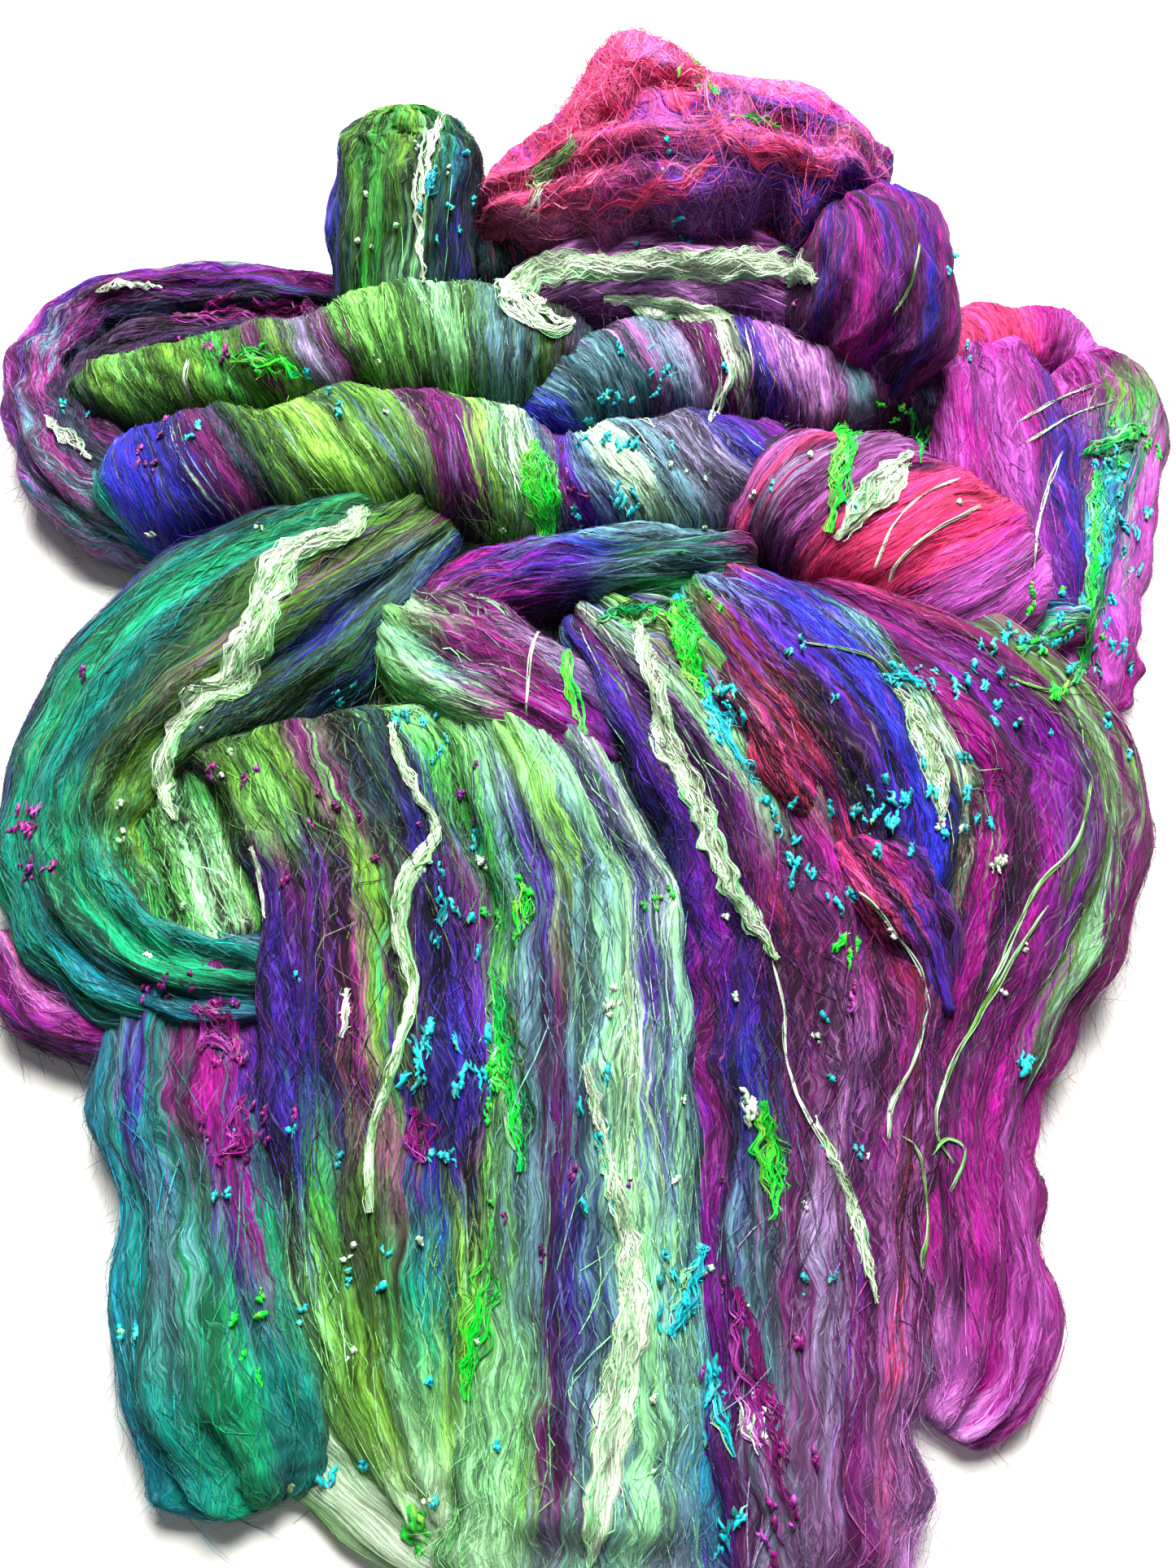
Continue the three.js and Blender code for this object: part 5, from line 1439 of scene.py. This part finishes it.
def lock_spines(path, grid, count, crimp, pitch, lift, frayed, rng):
    """Wavy strands in clumps that run along a laid grid, most of them only part of the way."""
    length = path.steps[-1]
    points = int(np.clip(int(length / max(pitch / POINTS_PER_WAVE, 1)), *STRAND_POINTS))
    clumps = max(count // CLUMP, 3)
    clump = rng.integers(0, clumps, count)

    def each(low, high):
        return rng.uniform(low, high, (count, 1))

    def shared(low, high):
        return rng.uniform(low, high, (clumps, 1))[clump]

    t = np.linspace(0, 1, points)[None]
    centre = shared(0.1, 0.9) + each(-0.1, 0.1)
    reach = shared(0.25, 0.6) * each(0.5, 1.0)
    start, stop = (centre - reach).clip(0), (centre + reach).clip(None, 1)
    run = start + (stop - start) * t
    spread = rng.normal(0, STRAND_SPREAD, (count, 1)) * (0.4 + 0.6 * np.sin(np.pi * t))
    home = shared(-0.9, 0.9)
    travel = run * length
    half = np.maximum(np.interp(run, path.steps / length, path.half), 1)
    roam = ROAM * np.sin(2 * np.pi * (travel / (ROAM_SPAN * shared(0.5, 1.6)) + shared(0, 1)))
    turns = travel / (pitch * shared(0.7, 1.8)) + shared(0, 1) + each(-0.07, 0.07)
    bend = 2 * np.pi * turns
    strength = shared(0.25, 1.2) * each(0.6, 1.2) * crimp
    wave = strength * (np.sin(bend) + 0.35 * np.sin(bend * 1.7 + shared(0, 6)))
    ends = np.abs(2 * t - 1) ** 5 * rng.normal(0, 1, (count, 1)) * frayed * 0.25
    sides = home + roam + spread + (wave + ends) / half
    spines = on_grid(grid, run * (len(grid) - 1), sides)
    row = np.clip((run * (len(path.up) - 1)).astype(int), 0, len(path.up) - 1)
    normal, across = path.up[row], path.across[row]
    beyond = np.clip(np.abs(sides) - 1, 0, None) * half * np.sign(sides)
    raised = 0.2 + lift * np.sqrt(np.clip(1 - home**2, 0.1, 1)) * each(0.1, 1.0)
    raised = raised + strength * 0.5 * (1 + np.cos(bend + 1.2)) / 2
    spines = spines + normal * raised[..., None] + across * beyond[..., None]
    tone = np.clip(rng.normal(0.0, STRAND_TONE, (count, 1)), -0.5, 0.5)
    place = np.stack([run, 0 * run + tone], -1)
    fibre = np.stack([(home + spread + 1) / 2 + 0 * run, travel * MM], -1)
    return spines, normal, fibre, place


def make_lock(name, heap, rows, material, count, crimp, pitch, lift, frayed, width, seed):
    """A lock of fibre laid on the wool: wavy strands along a path."""
    rng = np.random.default_rng(SEED * LOCK_SEED + seed)
    path = path_on(heap, rows, PATH_STEP)
    grid = laid_grid(heap, path)
    spines, normal, fibre, place = lock_spines(path, grid, count, crimp, pitch, lift, frayed, rng)
    facing = unit(normal + rng.normal(0, STRAND_TURN, (count, 1, 3)))
    corners, faces = ribbons(spines, facing, rng.uniform(width * 0.6, width * 1.4, count))
    mesh_object(name, corners, faces, strand_maps(fibre, place), material, "silk")


def tubes(spines, radii, sides):
    """Round tubes along spines of points, as corners and faces."""
    count, steps = spines.shape[:2]
    along = unit(np.gradient(spines, axis=1))
    lean = np.where(np.abs(along[..., 2:3]) > 0.9, [1.0, 0.0, 0.0], [0.0, 0.0, 1.0])
    first = unit(np.cross(along, lean))
    second = np.cross(along, first)
    turn = np.arange(sides) / sides * 2 * np.pi
    ring = first[:, :, None] * np.cos(turn)[:, None] + second[:, :, None] * np.sin(turn)[:, None]
    points = spines[:, :, None] + ring * radii[:, :, None, None]
    base = (np.arange(count) * steps * sides)[:, None, None]
    base = base + np.arange(steps - 1)[None, :, None] * sides
    k = np.arange(sides)[None, None]
    after = (k + 1) % sides
    faces = np.stack([base + k, base + after, base + sides + after, base + sides + k], -1)
    return points.reshape(-1, 3), faces.reshape(-1, 4)


def make_nepps(name, heap, patches, material, seed):
    """Nepps: little curls and lumps of bright fibre, strewn over patches of the wool."""
    rng = np.random.default_rng(SEED * NEPP_SEED + seed)
    spines, radii = [], []
    t = np.linspace(-0.5, 0.5, NEPP_POINTS)
    for px, py, wide, high, count, long in patches:
        for _ in range(count):
            aimed = px + rng.normal(0, wide / 2), py + rng.normal(0, high / 2)
            place, normal, _ = seen(heap, *aimed)
            if place is None:
                continue
            heading = np.array([rng.normal(0.1, 0.3), 1.0, 0.0])
            for _ in range(rng.integers(*NEPP_CURLS)):
                side = unit(np.cross(normal, heading + rng.normal(0, 0.22, 3)))
                ahead = np.cross(side, normal)
                size = rng.uniform(*NEPP_SIZE) * long
                bend = rng.normal(0, 0.3)
                phase = rng.uniform(0, 6.28)
                wave = 0.08 * size * np.sin(t * rng.uniform(*NEPP_WAVES) + phase)
                aside = rng.normal(0, 0.6, 3) + ahead * rng.normal(0, 0.9)
                spine = place + aside + ahead * (t * size)[:, None]
                spine = spine + side * (bend * size * t**2 + wave)[:, None]
                spine = spine + normal * (0.5 + 0.3 * np.cos(t * 9 + phase))[:, None]
                spines.append(spine)
                thick = rng.uniform(*NEPP_RADIUS) * (0.2 + np.cos(t * np.pi) ** 0.6)
                radii.append(thick * (1 + 0.4 * np.sin(t * 15 + phase)))
    spines, radii = np.array(spines), np.array(radii)
    spines[..., 2] = np.maximum(spines[..., 2], NEPP_FLOOR)
    corners, faces = tubes(spines, radii, NEPP_SIDES)
    tone = np.clip(rng.normal(0.1, 0.2, (len(spines), 1)), -0.3, 0.6)
    share = rng.uniform(0, 1, (len(spines), 1))
    fibre = np.stack([share + 0 * radii, t * 0.01 + 0 * radii], -1)
    place = np.stack([t + 0.5 + 0 * radii, tone + 0 * radii], -1)
    mesh_object(name, corners, faces, strand_maps(fibre, place, NEPP_SIDES), material, "silk")


def make_thread(name, heap, rows, material, seed):
    """A thread lying on the wool: a few fine strands that run loosely side by side."""
    rng = np.random.default_rng(SEED * THREAD_SEED + seed)
    path = path_on(heap, [(px, py, 1) for px, py in rows], THREAD_STEP, 3)
    steps = path.steps
    ends = np.clip(np.minimum(steps, steps[-1] - steps) / 4, 0.1, 1)
    spines, radii = [], []
    for _ in range(THREAD_STRANDS):
        spans, starts = rng.uniform(4, 13, 3), rng.uniform(0, 6, 3)
        aside = sum(np.sin(steps / span + start) for span, start in zip(spans, starts))
        out = THREAD_LIFT + 0.2 * np.sin(steps / spans[0] + starts[1])
        beside = path.across * (aside * THREAD_SPREAD)[:, None]
        spines.append(path.points + beside + path.up * out[:, None])
        slub = 1 + 0.45 * np.sin(steps / spans[1] + starts[2])
        radii.append(rng.uniform(0.5, 1.2) * THREAD_RADIUS * slub * ends)
    spines, radii = np.array(spines), np.array(radii)
    corners, faces = tubes(spines, radii, THREAD_SIDES)
    shares = np.linspace(0.1, 0.9, THREAD_STRANDS)[:, None]
    fibre = np.stack([shares + 0 * radii, steps * MM + 0 * radii], -1)
    place = np.stack([steps / steps[-1] + 0 * radii, 0 * radii], -1)
    mesh_object(name, corners, faces, strand_maps(fibre, place, THREAD_SIDES), material, "silk")


def make_wool():
    """All the folds and the fibres on them. It gives the heap, on which places can be found."""
    for number, fold in enumerate(Fold.every):
        finish_fold(fold, number)
        fold.material = wool_material(fold)
    corners, faces, total = [], [], 0
    for fold in Fold.every:
        points, sides = make_fold(fold)
        corners.append(points)
        faces.append(sides + total)
        total += len(points)
    heap = BVHTree.FromPolygons(np.concatenate(corners).tolist(), np.concatenate(faces).tolist())
    hairy = [fold for fold in Fold.every if fold.name != "bed"]
    shares = [HIDDEN_SHARE if fold.hidden else 1 for fold in hairy]
    areas = np.array([fold.length * fold.radius * part for fold, part in zip(hairy, shares)])
    for fold, area in zip(hairy, areas):
        counts = [int(count * area / areas.sum()) + 1 for count in FIBRES]
        if fold.loose > FLUFFY:
            counts.append(FLUFF)
        found = [make_fibres(fold, heap, kind, count) for kind, count in enumerate(counts)]
        found = [part for part in found if part is not None]
        if found:
            mesh_object(fold.name + "_fibres", *joined(found), fold.material, "wool")
    return heap


def make_extras(heap):
    """The silk strips, locks, nepps and threads on the wool."""
    silks = {name: silk_material(name, words) for name, words in STREAKS.items()}
    for number, (name, look, count, thick, rows) in enumerate(SILKS):
        band = make_band(name + "_strip", heap, rows, silks[look], thick, number)
        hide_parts(name)
        strands = int(count * BAND_STRANDS), BAND_CRIMP, BAND_PITCH, thick * 1.1, BAND_FRAY
        make_lock(name + "_strands", heap, rows, silks[look], *strands, BAND_STRAND_WIDTH, number)
    for number, (look, count, crimp, pitch, lift, frayed, rows) in enumerate(LOCKS):
        strands = int(count * LOCK_STRANDS), crimp, pitch, lift, frayed
        make_lock(f"lock_{number + 1}", heap, rows, silks[look], *strands, LOCK_STRAND_WIDTH,
                  LOCK_DRAWS + number)
    for number, (look, patches) in enumerate(NEPPS.items()):
        make_nepps("nepps_" + look.split("_")[1], heap, patches, silks[look], number)
    for number, (look, rows) in enumerate(THREADS):
        make_thread(f"thread_{number + 1}", heap, rows, silks[look], number)


def area_light(name, place, size, power, colour):
    """A square light that points at the origin."""
    light = bpy.data.lights.new(name, "AREA")
    light.size = size
    light.energy = power
    light.color = colour
    holder = bpy.data.objects.new(name, light)
    holder.location = place
    holder.rotation_euler = (-Vector(place)).to_track_quat("-Z", "Y").to_euler()
    bpy.context.scene.collection.objects.link(holder)


def make_studio():
    """The floor, the soft lights and the camera."""
    bpy.ops.mesh.primitive_plane_add(size=FLOOR_SIZE)
    floor = bpy.context.active_object
    floor.name = "floor"
    tree = Tree("floor")
    tree.put(tree.shader, "Base Color", FLOOR_COLOUR)
    tree.put(tree.shader, "Roughness", 0.6)
    floor.data.materials.append(tree.material)
    world = bpy.data.worlds.new("world")
    world.use_nodes = True
    sky = world.node_tree.nodes["Background"].inputs
    sky[0].default_value = SKY_COLOUR
    sky[1].default_value = SKY_STRENGTH
    bpy.context.scene.world = world
    for name, light in LIGHTS.items():
        area_light(name, *light)
    camera = bpy.data.cameras.new("camera")
    camera.sensor_width = SENSOR_WIDTH
    camera.lens = SENSOR_WIDTH * FOCAL_PX / FRAME_HEIGHT_PX
    camera.clip_start = 0.01
    holder = bpy.data.objects.new("camera", camera)
    holder.location = EYE * MM
    holder.rotation_euler = (math.pi / 2 - VIEW_TILT, 0, 0)
    bpy.context.scene.collection.objects.link(holder)
    bpy.context.scene.camera = holder
    bpy.context.scene.view_settings.view_transform = "Standard"


make_extras(make_wool())
make_studio()
